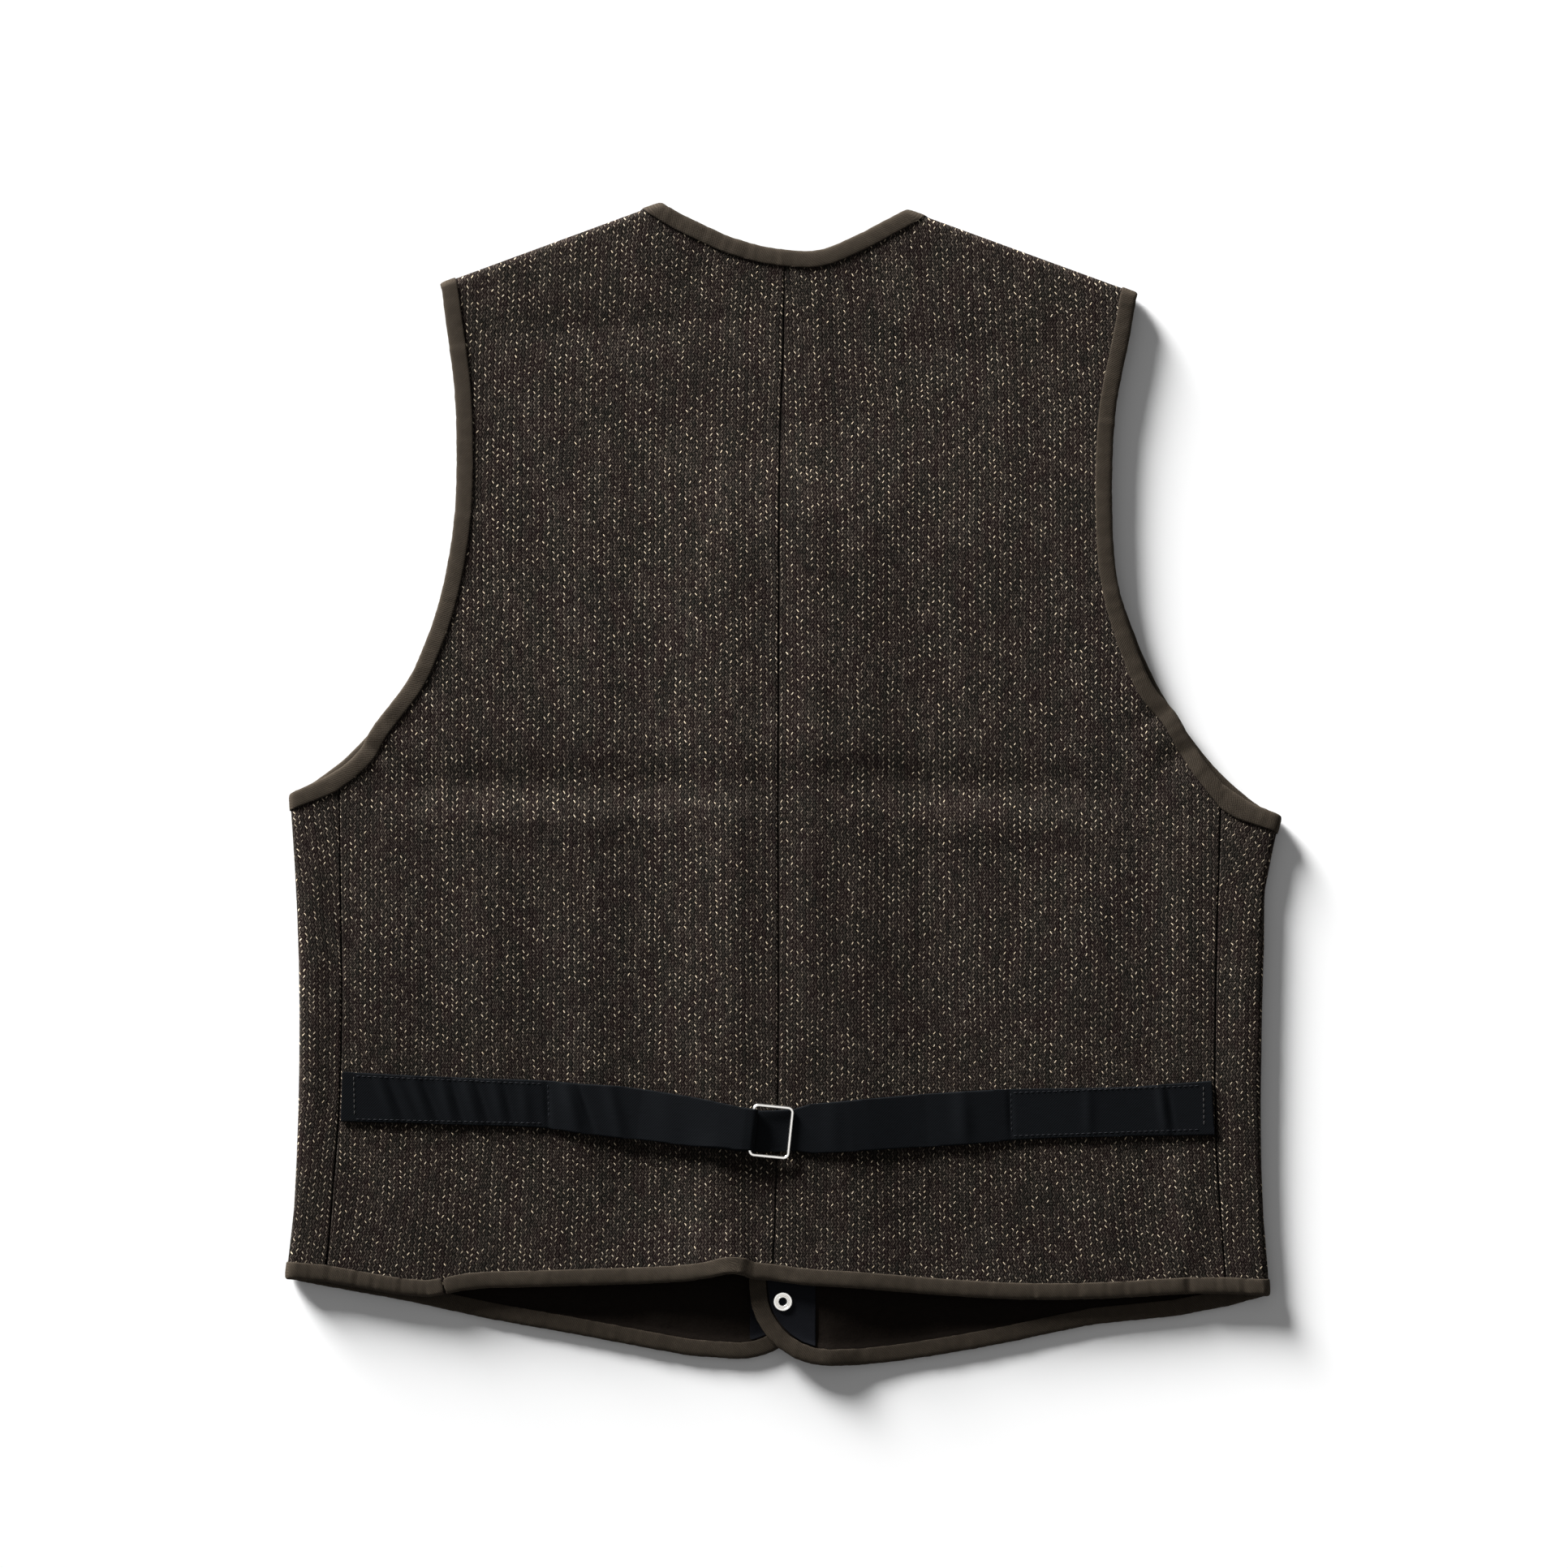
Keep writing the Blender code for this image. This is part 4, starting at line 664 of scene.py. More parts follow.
def rib_knit_group():
    """Zigzag threads in lanes. Two lanes of every four carry flecks, which lean apart."""
    group, w, given, result = new_group(
        "Rib knit",
        [
            ("Cloth", "NodeSocketVector", None),
            ("Pair pitch", "NodeSocketFloat", RIB_PITCH),
            ("Course", "NodeSocketFloat", COURSE),
        ],
        [
            ("Fleck", "NodeSocketFloat"),
            ("Brightness", "NodeSocketFloat"),
            ("Thread", "NodeSocketFloat"),
            ("Tone", "NodeSocketFloat"),
            ("Height", "NodeSocketFloat"),
        ],
    )
    cloth, pitch, course = (given.outputs[i] for i in range(3))
    u, v = w.parts(cloth)
    # The lanes wander, broadly and finely, and the courses drift from one pair to the next.
    u = w.plus(u, w.times(w.minus(w.noise(cloth, 0.035), 0.5), 2.2))
    u = w.plus(u, w.times(w.minus(w.noise(cloth, 0.45, 1.0), 0.5), 0.4))
    v = w.plus(v, w.times(w.minus(w.noise(w.scaled(cloth, (1.0, 0.5, 0)), 0.07), 0.5), 2.0))
    drift = w.noise(w.vector(w.times(w.math("FLOOR", w.math("DIVIDE", u, pitch)), 2.7),
                             w.times(v, 0.02)), 1.0, 1.0)
    rows = w.plus(w.math("DIVIDE", v, course), w.times(drift, 2.2))
    # The threads lean one way and back in each course. A pair and its gap are four lanes.
    zigzag = w.math("ABSOLUTE", w.minus(w.math("FRACT", rows), 0.5))
    pair = w.math("DIVIDE", w.minus(u, w.times(w.minus(zigzag, 0.25), 2.0)), pitch)
    column = w.math("FLOOR", pair)
    share = w.minus(w.math("FRACT", pair), 0.5)
    lane = w.plus(w.times(share, 4.0), w.times(w.math("SINE", w.times(share, tau)), 0.2))
    number = w.math("FLOOR", w.plus(lane, 0.5))
    half_rows = w.times(rows, 2.0)
    half_row = w.math("FLOOR", half_rows)
    falling = w.math("ABSOLUTE", w.math("MODULO", half_row, 2.0))
    # One lane of a pair carries flecks where the threads rise, the other where they fall.
    is_left = w.math("COMPARE", number, -1.0, 0.1)
    is_right = w.math("COMPARE", number, 1.0, 0.1)
    carries = w.plus(w.times(is_left, w.minus(1.0, falling)), w.times(is_right, falling))
    # Flecks come in runs along a lane, and a run misses some of them.
    chain = w.plus(w.times(column, 4.0), number)
    chance = w.random(chain, half_row, 1.7)
    second = w.random(chain, half_row, 5.3)
    run = w.noise(w.vector(w.times(chain, 3.7), w.times(v, 0.075)), 1.0, 1.0)
    present = w.fade(w.plus(w.times(chance, 0.55), w.times(run, 0.70)), 0.32, 0.54)
    # A fleck and a thread fade out across their lane and at both ends.
    fuzz = w.times(w.minus(w.noise(cloth, 2.6, 1.0), 0.5), 0.22)
    off = w.math("ABSOLUTE", w.minus(lane, number))
    beside = w.plus(off, fuzz)
    along = w.math("ABSOLUTE", w.minus(w.math("FRACT", half_rows), 0.5))
    body = w.times(w.fade(beside, 0.32, 0.10), w.fade(w.plus(along, fuzz), 0.50, 0.24))
    fleck = w.times(w.times(body, present), carries)
    thread = w.times(w.fade(beside, 0.44, 0.14), w.fade(along, 0.5, 0.25, 0.45, 1.0))
    w.put(fleck, result.inputs["Fleck"])
    w.put(w.math("POWER", second, 2.2), result.inputs["Brightness"])
    w.put(thread, result.inputs["Thread"])
    beside_pair = w.math("COMPARE", w.math("ABSOLUTE", number), 1.0, 0.1)
    tone = w.math("POWER", w.random(chain, half_row, 3.3), 1.5)
    w.put(w.times(tone, w.plus(0.45, w.times(beside_pair, 0.55))), result.inputs["Tone"])
    w.put(w.plus(thread, w.times(fleck, 0.4)), result.inputs["Height"])
    return group


def plain_weave_group():
    """Fine over-and-under weave, for the strap and facings."""
    group, w, given, result = new_group(
        "Plain weave",
        [("Cloth", "NodeSocketVector", None), ("Thread pitch", "NodeSocketFloat", 0.7)],
        [("Height", "NodeSocketFloat"), ("Slub", "NodeSocketFloat")],
    )
    cloth, pitch = given.outputs[0], given.outputs[1]
    u, v = w.parts(cloth)
    across = w.math("SINE", w.times(w.math("DIVIDE", u, pitch), pi))
    along = w.math("SINE", w.times(w.math("DIVIDE", v, pitch), pi))
    w.put(w.plus(0.5, w.times(w.times(across, along), 0.5)), result.inputs["Height"])
    streaks = w.noise(w.scaled(cloth, (0.12, 1.6, 0)), 1.0, 2.0)
    w.put(streaks, result.inputs["Slub"])
    return group


def twill_group():
    """Diagonal lines of twill tape."""
    group, w, given, result = new_group(
        "Twill",
        [("Cloth", "NodeSocketVector", None), ("Line pitch", "NodeSocketFloat", 0.95)],
        [("Height", "NodeSocketFloat"), ("Worn", "NodeSocketFloat")],
    )
    cloth, pitch = given.outputs[0], given.outputs[1]
    u, v = w.parts(cloth)
    line = w.math("DIVIDE", w.plus(w.times(u, 0.82), w.times(v, 0.62)), pitch)
    line = w.plus(line, w.times(w.noise(cloth, 1.1, 1.0), 0.7))
    wave = w.plus(0.5, w.times(w.math("COSINE", w.times(line, tau)), 0.5))
    cross = w.math("COSINE", w.times(w.minus(w.times(u, 0.62), w.times(v, 0.82)), 8.0))
    w.put(w.plus(w.times(wave, 0.8), w.times(cross, 0.2)), result.inputs["Height"])
    w.put(w.noise(cloth, 0.24, 3.0), result.inputs["Worn"])
    return group


def fibre_group():
    """Short tangled fibres, for the brushed inside of the cloth."""
    group, w, given, result = new_group(
        "Brushed fibres",
        [("Place", "NodeSocketVector", None)],
        [("Height", "NodeSocketFloat"), ("Tuft", "NodeSocketFloat")],
    )
    place = given.outputs[0]
    fine = w.noise3(place, 1.5, 4.0)
    tufts = w.noise3(place, 0.35, 2.0)
    w.put(w.plus(w.times(fine, 0.7), w.times(tufts, 0.5)), result.inputs["Height"])
    w.put(w.plus(w.times(fine, 0.6), w.times(tufts, 0.4)), result.inputs["Tuft"])
    return group


# ---------------------------------------------------------------- finishes

class Finishes:
    """Every material of the vest, made once from the shared effects."""

    def __init__(self):
        rib, weave = rib_knit_group(), plain_weave_group()
        twill, fibre = twill_group(), fibre_group()
        self.knit = self.make_knit(rib)
        self.fleece = self.make_fleece(fibre)
        self.tape = self.make_tape(twill)
        self.webbing = self.make_woven("Strap weave", weave, (4, 5, 6), (15, 17, 20))
        self.facing = self.make_woven("Facing weave", weave, (9, 10, 13), (23, 24, 28))
        self.nickel = self.make_nickel()
        self.dark_thread = self.make_thread("Navy thread", (16, 17, 22))
        self.light_thread = self.make_thread("Grey thread", (66, 64, 62))

    def cloth(self, w):
        """A piece's cloth coordinates in mm."""
        map_node = w.add("ShaderNodeUVMap", uv_map="Cloth")
        return w.scaled(map_node.outputs[0], (1000.0, 1000.0, 0.0))

    def place(self, w):
        """Object coordinates in mm."""
        coordinates = w.add("ShaderNodeTexCoord")
        return w.scaled(coordinates.outputs["Object"], (1000.0, 1000.0, 1000.0))

    def make_knit(self, rib):
        material, w, shader = new_material("Heather rib knit", 0.95, specular=0.03)
        cloth = self.cloth(w)
        out = use_group(w, rib, cloth=cloth)
        # The yarn is a heather of two browns, with lighter threads in broad patches.
        patches = w.noise(w.scaled(cloth, (1.0, 0.5, 0)), 0.09, 3.0, 0.6)
        maroon, olive = rgb(41, 33, 31), rgb(37, 36, 32)
        heather = w.blend(w.fade(patches, 0.38, 0.60), maroon, olive)
        broad = w.noise(w.scaled(cloth, (1.0, 0.35, 0)), 0.07, 2.0)
        lift = w.times(out["Tone"], w.fade(broad, 0.3, 0.7, 0.55, 1.0))
        light = w.blend(lift, heather, rgb(95, 86, 78))
        ground = w.blend(out["Thread"], rgb(14, 9, 8), light)
        cream = w.blend(w.noise(cloth, 0.5, 1.0), rgb(250, 224, 184), rgb(226, 216, 198))
        fleck = w.blend(out["Brightness"], rgb(78, 70, 63), cream)
        yarn = w.blend(out["Fleck"], ground, fleck)
        # Painted shade: a little darker towards the hem, where less light falls, and painted shade
        # in the valley of the centre seam.
        # Painted shade: the knit fades darker towards the hem.
        hem = w.fade(w.parts(cloth)[1], -210.0, 110.0, 0.20, 0.0)
        # Painted shade: the seam's valley is blended towards near black.
        seam = w.times(w.add("ShaderNodeAttribute", attribute_name="Seam").outputs["Fac"], 0.85)
        shaded = w.math("MAXIMUM", hem, seam)
        w.put(w.blend(shaded, yarn, rgb(8, 6, 5)), shader.inputs["Base Color"])
        w.put(w.bump(out["Height"], 0.4, 0.0004), shader.inputs["Normal"])
        return material

    def make_fleece(self, fibre):
        material, w, shader = new_material("Brushed inside", 0.95, specular=0.01, sheen=0.02)
        out = use_group(w, fibre, place=self.place(w))
        colour = w.blend(out["Tuft"], rgb(14, 11, 9), rgb(35, 30, 26))
        w.put(colour, shader.inputs["Base Color"])
        w.put(w.bump(out["Height"], 0.7, 0.0006), shader.inputs["Normal"])
        return material

    def make_tape(self, twill):
        material, w, shader = new_material("Twill tape", 0.85, specular=0.03)
        out = use_group(w, twill, cloth=self.cloth(w))
        worn = w.blend(w.fade(out["Worn"], 0.3, 0.7), rgb(60, 54, 46), rgb(69, 62, 53))
        w.put(w.blend(out["Height"], rgb(48, 42, 36), worn), shader.inputs["Base Color"])
        w.put(w.bump(out["Height"], 0.35, 0.0002), shader.inputs["Normal"])
        return material

    def make_woven(self, name, weave, low, high):
        material, w, shader = new_material(name, 0.75, specular=0.04)
        out = use_group(w, weave, cloth=self.cloth(w))
        tone = w.plus(w.times(out["Height"], 0.5), w.times(out["Slub"], 0.5))
        w.put(w.blend(tone, rgb(*low), rgb(*high)), shader.inputs["Base Color"])
        w.put(w.bump(out["Height"], 0.3, 0.0002), shader.inputs["Normal"])
        return material

    def make_nickel(self):
        material, w, shader = new_material("Nickel", 0.2, metallic=1.0)
        marks = w.noise3(self.place(w), 0.9, 4.0)
        w.put(w.blend(marks, rgb(226, 223, 218), rgb(240, 238, 234)), shader.inputs["Base Color"])
        w.put(w.fade(marks, 0.3, 0.7, 0.22, 0.30), shader.inputs["Roughness"])
        return material

    def make_thread(self, name, colour):
        material, w, shader = new_material(name, 0.7, specular=0.2)
        twist = w.noise3(self.place(w), 5.0, 1.0)
        dark = tuple(channel * 0.6 for channel in rgb(*colour)[:3]) + (1.0,)
        w.put(w.blend(twist, dark, rgb(*colour)), shader.inputs["Base Color"])
        return material


# ---------------------------------------------------------------- panels

PANEL_CELL = 9.0                   # the grid that a back is cut on, so that it can crease
FRONT_CELL = 11.0                  # coarser, as the fronts show only at the sides and the hem
PANEL_EDGE = 1.2                   # width of the band that rounds a panel's edge
SEAM_REACH, SEAM_EASE = 6.0, 4.0   # how near the centre seam the cloth is drawn to it
SEAM_DRAW = 0.2                    # how far its lower edge is drawn
SEAM_VALLEY = 0.95                 # half width of the shaded valley of the seam


def close_seam(piece, sign):
    """Draws a back's lower edge to the other back, and marks the valley of the seam for its painted
    shade.
    """
    places, normals = points_of(piece), normals_of(piece)
    off = np.abs(places[:, 0] - seam_place(places[:, 1]))
    under = np.clip((0.7 - normals[:, 2]) / 0.5, 0, 1)     # 0 on the top, 1 on edge and inside
    places[:, 0] -= sign * SEAM_DRAW * under * np.clip((SEAM_REACH - off) / SEAM_EASE, 0, 1)
    move_points(piece, places)
    # Mask of the painted shade in the valley of the seam, dark in the knit's colour.
    marks = piece.data.attributes.new("Seam", "FLOAT", "POINT")
    marks.data.foreach_set("value", np.clip(1.2 - off / SEAM_VALLEY, 0, 1))


def make_panels(finishes):
    """Backs and fronts, knit outside and brushed inside."""
    pieces = {}
    for side, sign in (("left", -1.0), ("right", 1.0)):
        back = cloth_panel(f"back_{side}", f"knit_back_{side}", PANEL_CELL, PANEL_EDGE, 2, True)
        front = cloth_panel(f"front_{side}", f"knit_front_{side}", FRONT_CELL, PANEL_EDGE, 2, False)
        add_cloth_map(back, grain_of_back)
        add_cloth_map(front, grain_of_front(sign))
        close_seam(back, sign)
        for piece in (back, front):
            settle(piece, points_of(piece))
            piece.data.materials.append(finishes.knit)
            piece.data.materials.append(finishes.fleece)
            pieces[piece.name] = piece
    return pieces


# ---------------------------------------------------------------- bindings

NECK_ROUTE = ((-63.0, 298.8), (-53.0, 293.1), (-43.0, 288.2), (-27.0, 281.0), (-11.0, 276.0),
              (4.0, 274.0), (14.0, 273.5), (22.0, 275.5), (39.0, 283.0), (52.0, 289.8),
              (62.6, 295.4))
ARMHOLE_ROUTE = {
    "left": ((-176.0, 257.0), (-170.0, 215.0), (-168.0, 170.0), (-170.0, 130.0), (-178.0, 91.0),
             (-195.0, 51.0), (-216.0, 19.0), (-235.0, 4.0), (-254.0, -5.0)),
    "right": ((181.0, 252.0), (173.0, 215.0), (168.0, 163.0), (169.5, 111.0), (181.0, 70.0),
              (200.0, 38.0), (213.0, 16.0), (232.0, -5.0), (256.0, -17.0)),
}
HEM_ROUTE = {
    "left": ((-254.0, -252.4), (-235.0, -253.8), (-214.0, -257.5), (-194.0, -260.8),
             (-174.0, -260.2)),
    "right": ((248.0, -261.0), (226.0, -260.0), (205.0, -260.2), (180.0, -261.7),
              (122.0, -263.0), (80.0, -260.6), (30.0, -256.3), (-6.0, -253.0), (-17.0, -252.0),
              (-26.0, -249.0), (-36.0, -251.2), (-61.0, -254.2), (-135.0, -256.7),
              (-174.0, -260.2)),
}
FRONT_ROUTE = {
    "left": ((-63.0, 298.8), (-38.5, 205.0), (-9.0, 128.0), (12.0, 84.0), (16.4, 62.0),
             (16.4, -100.0), (16.4, -255.0), (5.0, -283.0), (-22.6, -294.0), (-69.0, -288.6),
             (-152.0, -273.3), (-254.0, -252.5)),
    "right": ((62.6, 295.4), (38.5, 201.0), (8.0, 125.0), (-13.6, 82.0), (-18.1, 60.0),
              (-18.1, -100.0), (-18.1, -256.0), (-6.0, -285.0), (23.0, -297.0), (76.0, -292.4),
              (159.0, -276.0), (248.0, -261.5)),
}
TAPE_CELL = 6.0
TAPE_CORNER = 0.25              # sharpness of the tape's cut ends
CORNER_ANGLE = radians(75)      # an edge of the tape that bends more than this is a corner
PUCKER, RIPPLE = 0.16, 0.07     # how far the tape rises and sinks, and its finer ripple


def make_binding(node, mapping, finishes, seed):
    """Puffed tape folded over an edge, with small puckers across it."""
    bm = merged_copy(node, flat=False)
    cut_along_route(bm, mapping, TAPE_CELL)
    crease = bm.edges.layers.float.new("crease_edge")
    for edge in bm.edges:
        if edge.calc_face_angle(0) > CORNER_ANGLE:
            edge[crease] = TAPE_CORNER
    piece = finish_copy(bm, f"tape_{node[8:]}", node)
    subdivide(piece, 2)
    smooth(piece)
    add_cloth_map(piece, mapping)
    places, normals = points_of(piece), normals_of(piece)
    along, aside = mapping(places)
    pucker = PUCKER * wander(along * 0.62, seed)
    pucker += RIPPLE * wander(along * 1.9 + aside * 0.5, seed + 2)
    off_floor = np.clip(places[:, 2] / 0.6, 0, 1)
    settle(piece, places + normals * (pucker * off_floor)[:, None])
    piece.data.materials.append(finishes.tape)
    return piece


def make_bindings(finishes):
    routes = {"binding_neck_back": Route(NECK_ROUTE)}
    for side in ("left", "right"):
        routes[f"binding_armhole_{side}"] = Route(ARMHOLE_ROUTE[side])
        routes[f"binding_front_{side}"] = TwoLayers(
            Route(FRONT_ROUTE[side]), Route(HEM_ROUTE[side])
        )
    return {
        node: make_binding(node, route, finishes, seed)
        for seed, (node, route) in enumerate(routes.items())
    }


# ---------------------------------------------------------------- facings and straps

FACING_CELL, FACING_EDGE = 6.0, 0.5
STRAP_CELL, STRAP_EDGE = 2.4, 0.9
DEEPEST_LINE = -0.45        # the strap's creases sink no deeper than this


def straight_grain(places):
    return places[:, 0], places[:, 1]


def clothe(piece, material):
    """Gives both faces of a woven strip the same cloth."""
    add_cloth_map(piece, straight_grain)
    piece.data.materials.append(material)
    for polygon in piece.data.polygons:
        polygon.material_index = 0


def make_facings(finishes):
    pieces = {}
    for side in ("left", "right"):
        piece = cloth_panel(
            f"facing_{side}", f"snap_facing_{side}", FACING_CELL, FACING_EDGE, 1, True
        )
        clothe(piece, finishes.facing)
        pieces[side] = piece
    return pieces


def make_straps(finishes):
    """Webbing with pressed creases, sewn down towards the sides."""
    pieces = {}
    for side in ("left", "right"):
        piece = cloth_panel(f"strap_{side}", f"webbing_{side}", STRAP_CELL, STRAP_EDGE, 1, True)
        clothe(piece, finishes.webbing)
        places = points_of(piece)
        places[:, 2] += crease_height(BACK_CREASES, places)
        bend = crease_height(STRAP_CREASES, places)
        places[:, 2] += np.maximum(bend, DEEPEST_LINE)
        move_points(piece, places)
        pieces[side] = piece
    return pieces


# ---------------------------------------------------------------- stitches

STITCH_LENGTH, STITCH_GAP, THREAD_RADIUS, THREAD_SIDES = 2.1, 0.8, 0.17, 6
# A stitch from end to end: share of its length, share of its thickness, rise.
STITCH_PROFILE = (
    (0.0, 0.45, -0.10), (0.2, 0.95, 0.05), (0.5, 1.0, 0.10), (0.8, 0.95, 0.05), (1.0, 0.45, -0.10),
)
# Lines of stitches on the strap: place, from x, y, to x, y (mm), thread.
STITCH_LINES = (
    ("left, top", -219.0, -148.3, -122.0, -152.3, "dark"),
    ("left, bottom", -219.0, -170.3, -122.0, -172.4, "dark"),
    ("left end", -220.2, -148.6, -219.8, -170.0, "light"),
    ("left, inner end", -121.0, -152.8, -120.4, -172.0, "dark"),
    ("right, top", 117.0, -156.8, 213.0, -153.2, "dark"),
    ("right, bottom", 117.0, -178.8, 213.0, -175.6, "dark"),
    ("right end", 214.2, -153.8, 214.6, -175.2, "light"),
    ("right, inner end", 115.8, -157.2, 116.2, -178.4, "dark"),
)


ABOVE_ALL = 50.0


def surface_height(piece, x, y):
    """Height of a piece's top at a place (mm)."""
    start = Vector((x * MM, y * MM, ABOVE_ALL * MM))
    hit, place, _, _ = piece.ray_cast(start, Vector((0, 0, -1)))
    return place.z / MM if hit else None


def one_stitch(bm, start, end):
    """A short thread that dips into the cloth at both ends."""
    start, end = Vector(start), Vector(end)
    along = (end - start).normalized()
    across = along.cross(Vector((0, 0, 1))).normalized()
    up = across.cross(along)
    rings = []
    for share, size, rise in STITCH_PROFILE:
        middle = start.lerp(end, share) + up * rise
        ring = [
            bm.verts.new((middle + (across * cos(t) + up * sin(t)) * THREAD_RADIUS * size) * MM)
            for t in (k * tau / THREAD_SIDES for k in range(THREAD_SIDES))
        ]
        rings.append(ring)
    for a, b in zip(rings, rings[1:]):
        for k in range(THREAD_SIDES):
            after = (k + 1) % THREAD_SIDES
            bm.faces.new((a[k], a[after], b[after], b[k]))
    bm.faces.new(rings[0][::-1])
    bm.faces.new(rings[-1])


def make_stitches(straps, finishes):
    """Rows of stitches round the sewn ends of the strap."""
    for name in ("dark", "light"):
        bm = bmesh.new()
        for place, x0, y0, x1, y1, thread in STITCH_LINES:
            if thread != name:
                continue
            strap = straps["left" if place.startswith("left") else "right"]
            run = Vector((x1 - x0, y1 - y0))
            pitch = STITCH_LENGTH + STITCH_GAP
            count = floor(run.length / pitch)
            for k in range(count):
                a = Vector((x0, y0)) + run * (k * pitch / run.length)
                b = a + run.normalized() * STITCH_LENGTH
                heights = [surface_height(strap, *p) for p in (a, b)]
                if None in heights:
                    continue
                one_stitch(bm, (*a, heights[0]), (*b, heights[1]))
        bmesh.ops.recalc_face_normals(bm, faces=bm.faces)
        mesh = bpy.data.meshes.new(f"strap_stitches_{name}")
        bm.to_mesh(mesh)
        bm.free()
        piece = show(mesh.name, mesh)
        piece.data.materials.append(getattr(finishes, f"{name}_thread"))
        smooth(piece)
        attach(piece, BODY)


# ---------------------------------------------------------------- metal

BUCKLE_ACROSS, BUCKLE_UP = 19.8, 25.6       # between the middles of its wires
BUCKLE_WIRE = 0.85                          # radius of the wire
BUCKLE_CORNER = 2.4
BUCKLE_TURN = radians(-6.0)


def settle_place(piece):
    """Writes a piece's place into its mesh."""
    pick(piece)
    bpy.ops.object.transform_apply(location=True, rotation=True, scale=True)


def make_buckle(finishes):
    """Rounded rectangle of round wire, lying on the strap, a little turned and tilted."""
    low, high = (Vector(corner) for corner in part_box("buckle"))
    middle = (low + high) / 2
    tilt = atan2(-(high.z - low.z - 2 * BUCKLE_WIRE * MM), BUCKLE_ACROSS * MM)
    pick(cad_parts["buckle"])
    bpy.ops.mesh.primitive_plane_add(size=1)
    piece = bpy.context.object
    piece.name = "wire_buckle"
    piece.scale = (BUCKLE_ACROSS * MM, BUCKLE_UP * MM, 1)
    bpy.ops.object.transform_apply(location=False, rotation=False, scale=True)
    bpy.ops.object.mode_set(mode="EDIT")
    bpy.ops.mesh.select_all(action="SELECT")
    bpy.ops.mesh.bevel(offset=BUCKLE_CORNER * MM, segments=7, affect="VERTICES")
    bpy.ops.mesh.select_all(action="SELECT")
    bpy.ops.mesh.delete(type="ONLY_FACE")
    bpy.ops.object.mode_set(mode="OBJECT")
    bpy.ops.object.convert(target="CURVE")
    piece = bpy.context.object
    piece.data.bevel_depth = BUCKLE_WIRE * MM
    piece.data.bevel_resolution = 5
    bpy.ops.object.convert(target="MESH")
    piece = bpy.context.object
    piece.matrix_world = (
        Matrix.Translation(middle)
        @ Matrix.Rotation(BUCKLE_TURN, 4, "Z")
        @ Matrix.Rotation(-tilt, 4, "Y")
    )
    settle_place(piece)
    smooth(piece)
    piece.data.materials.clear()
    piece.data.materials.append(finishes.nickel)
    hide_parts("buckle")
    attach(piece, BODY)
    return piece


def turned(name, node, profile, finishes, sides=40):
    """A round fastener turned from a profile of radius and height (mm) on its node."""
    low, high = (Vector(corner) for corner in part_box(node))
    middle = (low + high) / 2
    bm = bmesh.new()
    closed = profile[0] == profile[-1]
    points = [bm.verts.new((r * MM, 0, h * MM)) for r, h in profile[: -1 if closed else None]]
    edges = [bm.edges.new(pair) for pair in zip(points, points[1:])]
    if closed:
        edges.append(bm.edges.new((points[-1], points[0])))
    bmesh.ops.spin(
        bm, geom=points + edges, axis=(0, 0, 1), cent=(0, 0, 0), angle=tau, steps=sides,
        use_merge=True,
    )
    bmesh.ops.remove_doubles(bm, verts=bm.verts, dist=0.005 * MM)
    bmesh.ops.recalc_face_normals(bm, faces=bm.faces)
    bmesh.ops.translate(bm, verts=bm.verts, vec=(middle.x, middle.y, low.z))
    mesh = bpy.data.meshes.new(name)
    bm.to_mesh(mesh)
    bm.free()
    piece = show(name, mesh)
    piece.data.materials.append(finishes.nickel)
    smooth(piece)
    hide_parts(node)
    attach(piece, BODY)
    return piece


# Profiles of the snaps: radius, height (mm).
RING_PROFILE = (
    (1.8, 0.0), (4.75, 0.0), (4.9, 0.2), (4.75, 0.62), (4.35, 0.80), (3.8, 0.78), (3.65, 0.66),
    (3.4, 0.20), (3.25, 0.10), (3.1, 0.20), (2.9, 0.62), (2.75, 0.80), (2.4, 0.84), (2.15, 0.60),
    (1.95, 0.30), (1.8, 0.0),
)
SOCKET_PROFILE = (
    (0.0, 0.0), (3.8, 0.0), (4.0, 0.2), (4.0, 0.7), (3.6, 0.85), (2.2, 0.85), (2.0, 1.1),
    (0.0, 1.1),
)
CAP_PROFILE = (
    (0.0, 0.0), (4.6, 0.0), (5.3, 0.15), (5.6, 0.45), (5.55, 0.75), (5.2, 0.8), (0.0, 0.8),
)


def make_snaps(finishes):
    for number in range(1, 6):
        turned(f"press_ring_{number}", f"snap_ring_{number}", RING_PROFILE, finishes)
        turned(f"press_socket_{number}", f"snap_socket_{number}", SOCKET_PROFILE, finishes, 24)
        turned(f"press_cap_{number}", f"snap_cap_{number}", CAP_PROFILE, finishes)


# ---------------------------------------------------------------- studio

VIEW_WIDTH = 801.8         # width of the picture at the vest (mm)
VIEW_CENTRE = (-0.2, 1.0)
CAMERA_HEIGHT = 2200.0      # above the surface
FOCUS_HEIGHT = 9.0          # the picture's width is measured at the top of the vest
SENSOR = 36.0
LIGHT_RISE = 10.3           # degrees above the surface
LIGHT_TURN = 53.0           # degrees from straight left towards the top
LIGHT_SPREAD = 21.0         # how wide the soft light looks from the vest (degrees)
KEY_STRENGTH = 15.1
BEAM_POWER = 410.0          # extra light that falls off towards the corners (watts)
BEAM_WIDTH = 20.0           # degrees
BEAM_REACH = 2.5            # metres from the extra light to the vest
BEAM_AIM = (0.15, 0.05, 0)
FLOOR_SIZE, FLOOR_GREY = 8.0, 0.96
SKY = 0.19                  # even light from all round


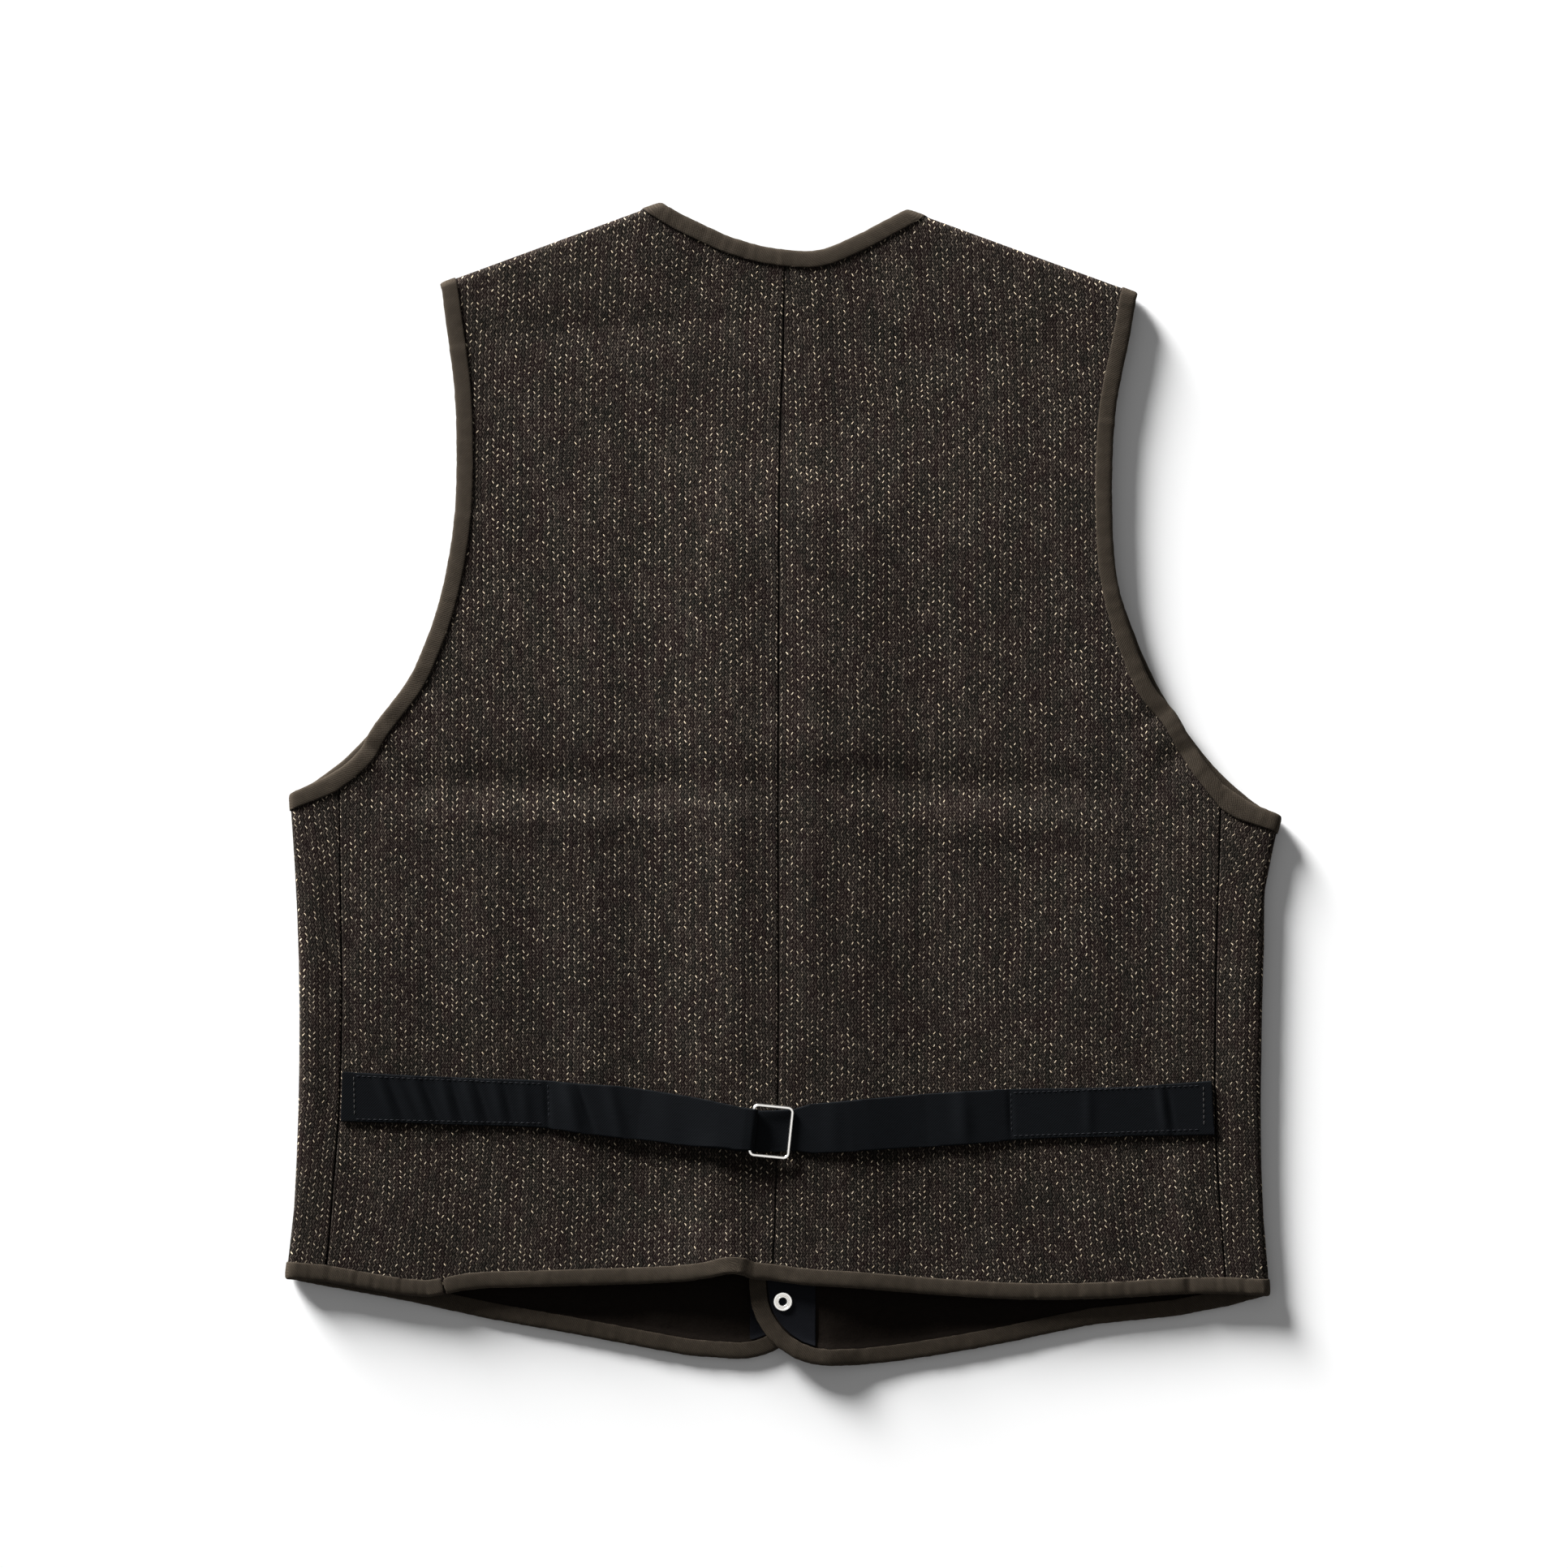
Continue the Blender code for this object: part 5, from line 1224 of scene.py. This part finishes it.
def make_studio():
    """Pale floor, soft lights from the top left, and a camera straight above."""
    scene = bpy.context.scene
    scene.view_settings.view_transform = "Standard"
    camera_data = bpy.data.cameras.new("Camera")
    camera_data.sensor_width = SENSOR
    camera_data.lens = SENSOR * (CAMERA_HEIGHT - FOCUS_HEIGHT) / VIEW_WIDTH
    camera = bpy.data.objects.new("Camera", camera_data)
    camera.location = (VIEW_CENTRE[0] * MM, VIEW_CENTRE[1] * MM, CAMERA_HEIGHT * MM)
    scene.collection.objects.link(camera)
    scene.camera = camera

    pick(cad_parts["back_left"])
    bpy.ops.mesh.primitive_plane_add(size=FLOOR_SIZE, location=(0, 0, -0.1 * MM))
    floor_piece = bpy.context.object
    floor_piece.name = "Floor"
    settle_place(floor_piece)
    material, w, shader = new_material("Pale floor", 0.9, specular=0.1)
    shader.inputs["Base Color"].default_value = (FLOOR_GREY, FLOOR_GREY, FLOOR_GREY, 1)
    floor_piece.data.materials.append(material)

    height, turn = radians(LIGHT_RISE), radians(LIGHT_TURN)
    toward = Vector((-cos(turn) * cos(height), sin(turn) * cos(height), sin(height)))
    key = bpy.data.lights.new("Key", "SUN")
    key.energy, key.angle = KEY_STRENGTH, radians(LIGHT_SPREAD)
    beam = bpy.data.lights.new("Beam", "SPOT")
    beam.energy, beam.spot_size, beam.spot_blend = BEAM_POWER, radians(BEAM_WIDTH), 1.0
    beam.shadow_soft_size = BEAM_REACH * sin(radians(LIGHT_SPREAD / 2))
    for lamp, place in ((key, toward), (beam, Vector(BEAM_AIM) + toward * BEAM_REACH)):
        item = bpy.data.objects.new(lamp.name, lamp)
        item.location = place
        item.rotation_euler = (-toward).to_track_quat("-Z", "Y").to_euler()
        scene.collection.objects.link(item)
    world = bpy.data.worlds.new("Studio")
    world.use_nodes = True
    backdrop, w = world.node_tree.nodes["Background"], Wiring(world.node_tree)
    backdrop.inputs["Color"].default_value = (1, 1, 1, 1)
    mirrored = w.add("ShaderNodeLightPath").outputs["Is Glossy Ray"]
    split = w.add("ShaderNodeSeparateXYZ")
    w.put(w.add("ShaderNodeTexCoord").outputs["Generated"], split.inputs[0])
    overhead = w.fade(split.outputs[2], 0.35, 0.9, 0.05, 0.95)
    w.put(w.plus(SKY, w.times(mirrored, overhead)), backdrop.inputs["Strength"])
    scene.world = world


# ---------------------------------------------------------------- main


def main():
    finishes = Finishes()
    panels = make_panels(finishes)
    tapes = make_bindings(finishes)
    facings = make_facings(finishes)
    straps = make_straps(finishes)
    make_stitches(straps, finishes)
    make_buckle(finishes)
    make_snaps(finishes)
    make_studio()


main()
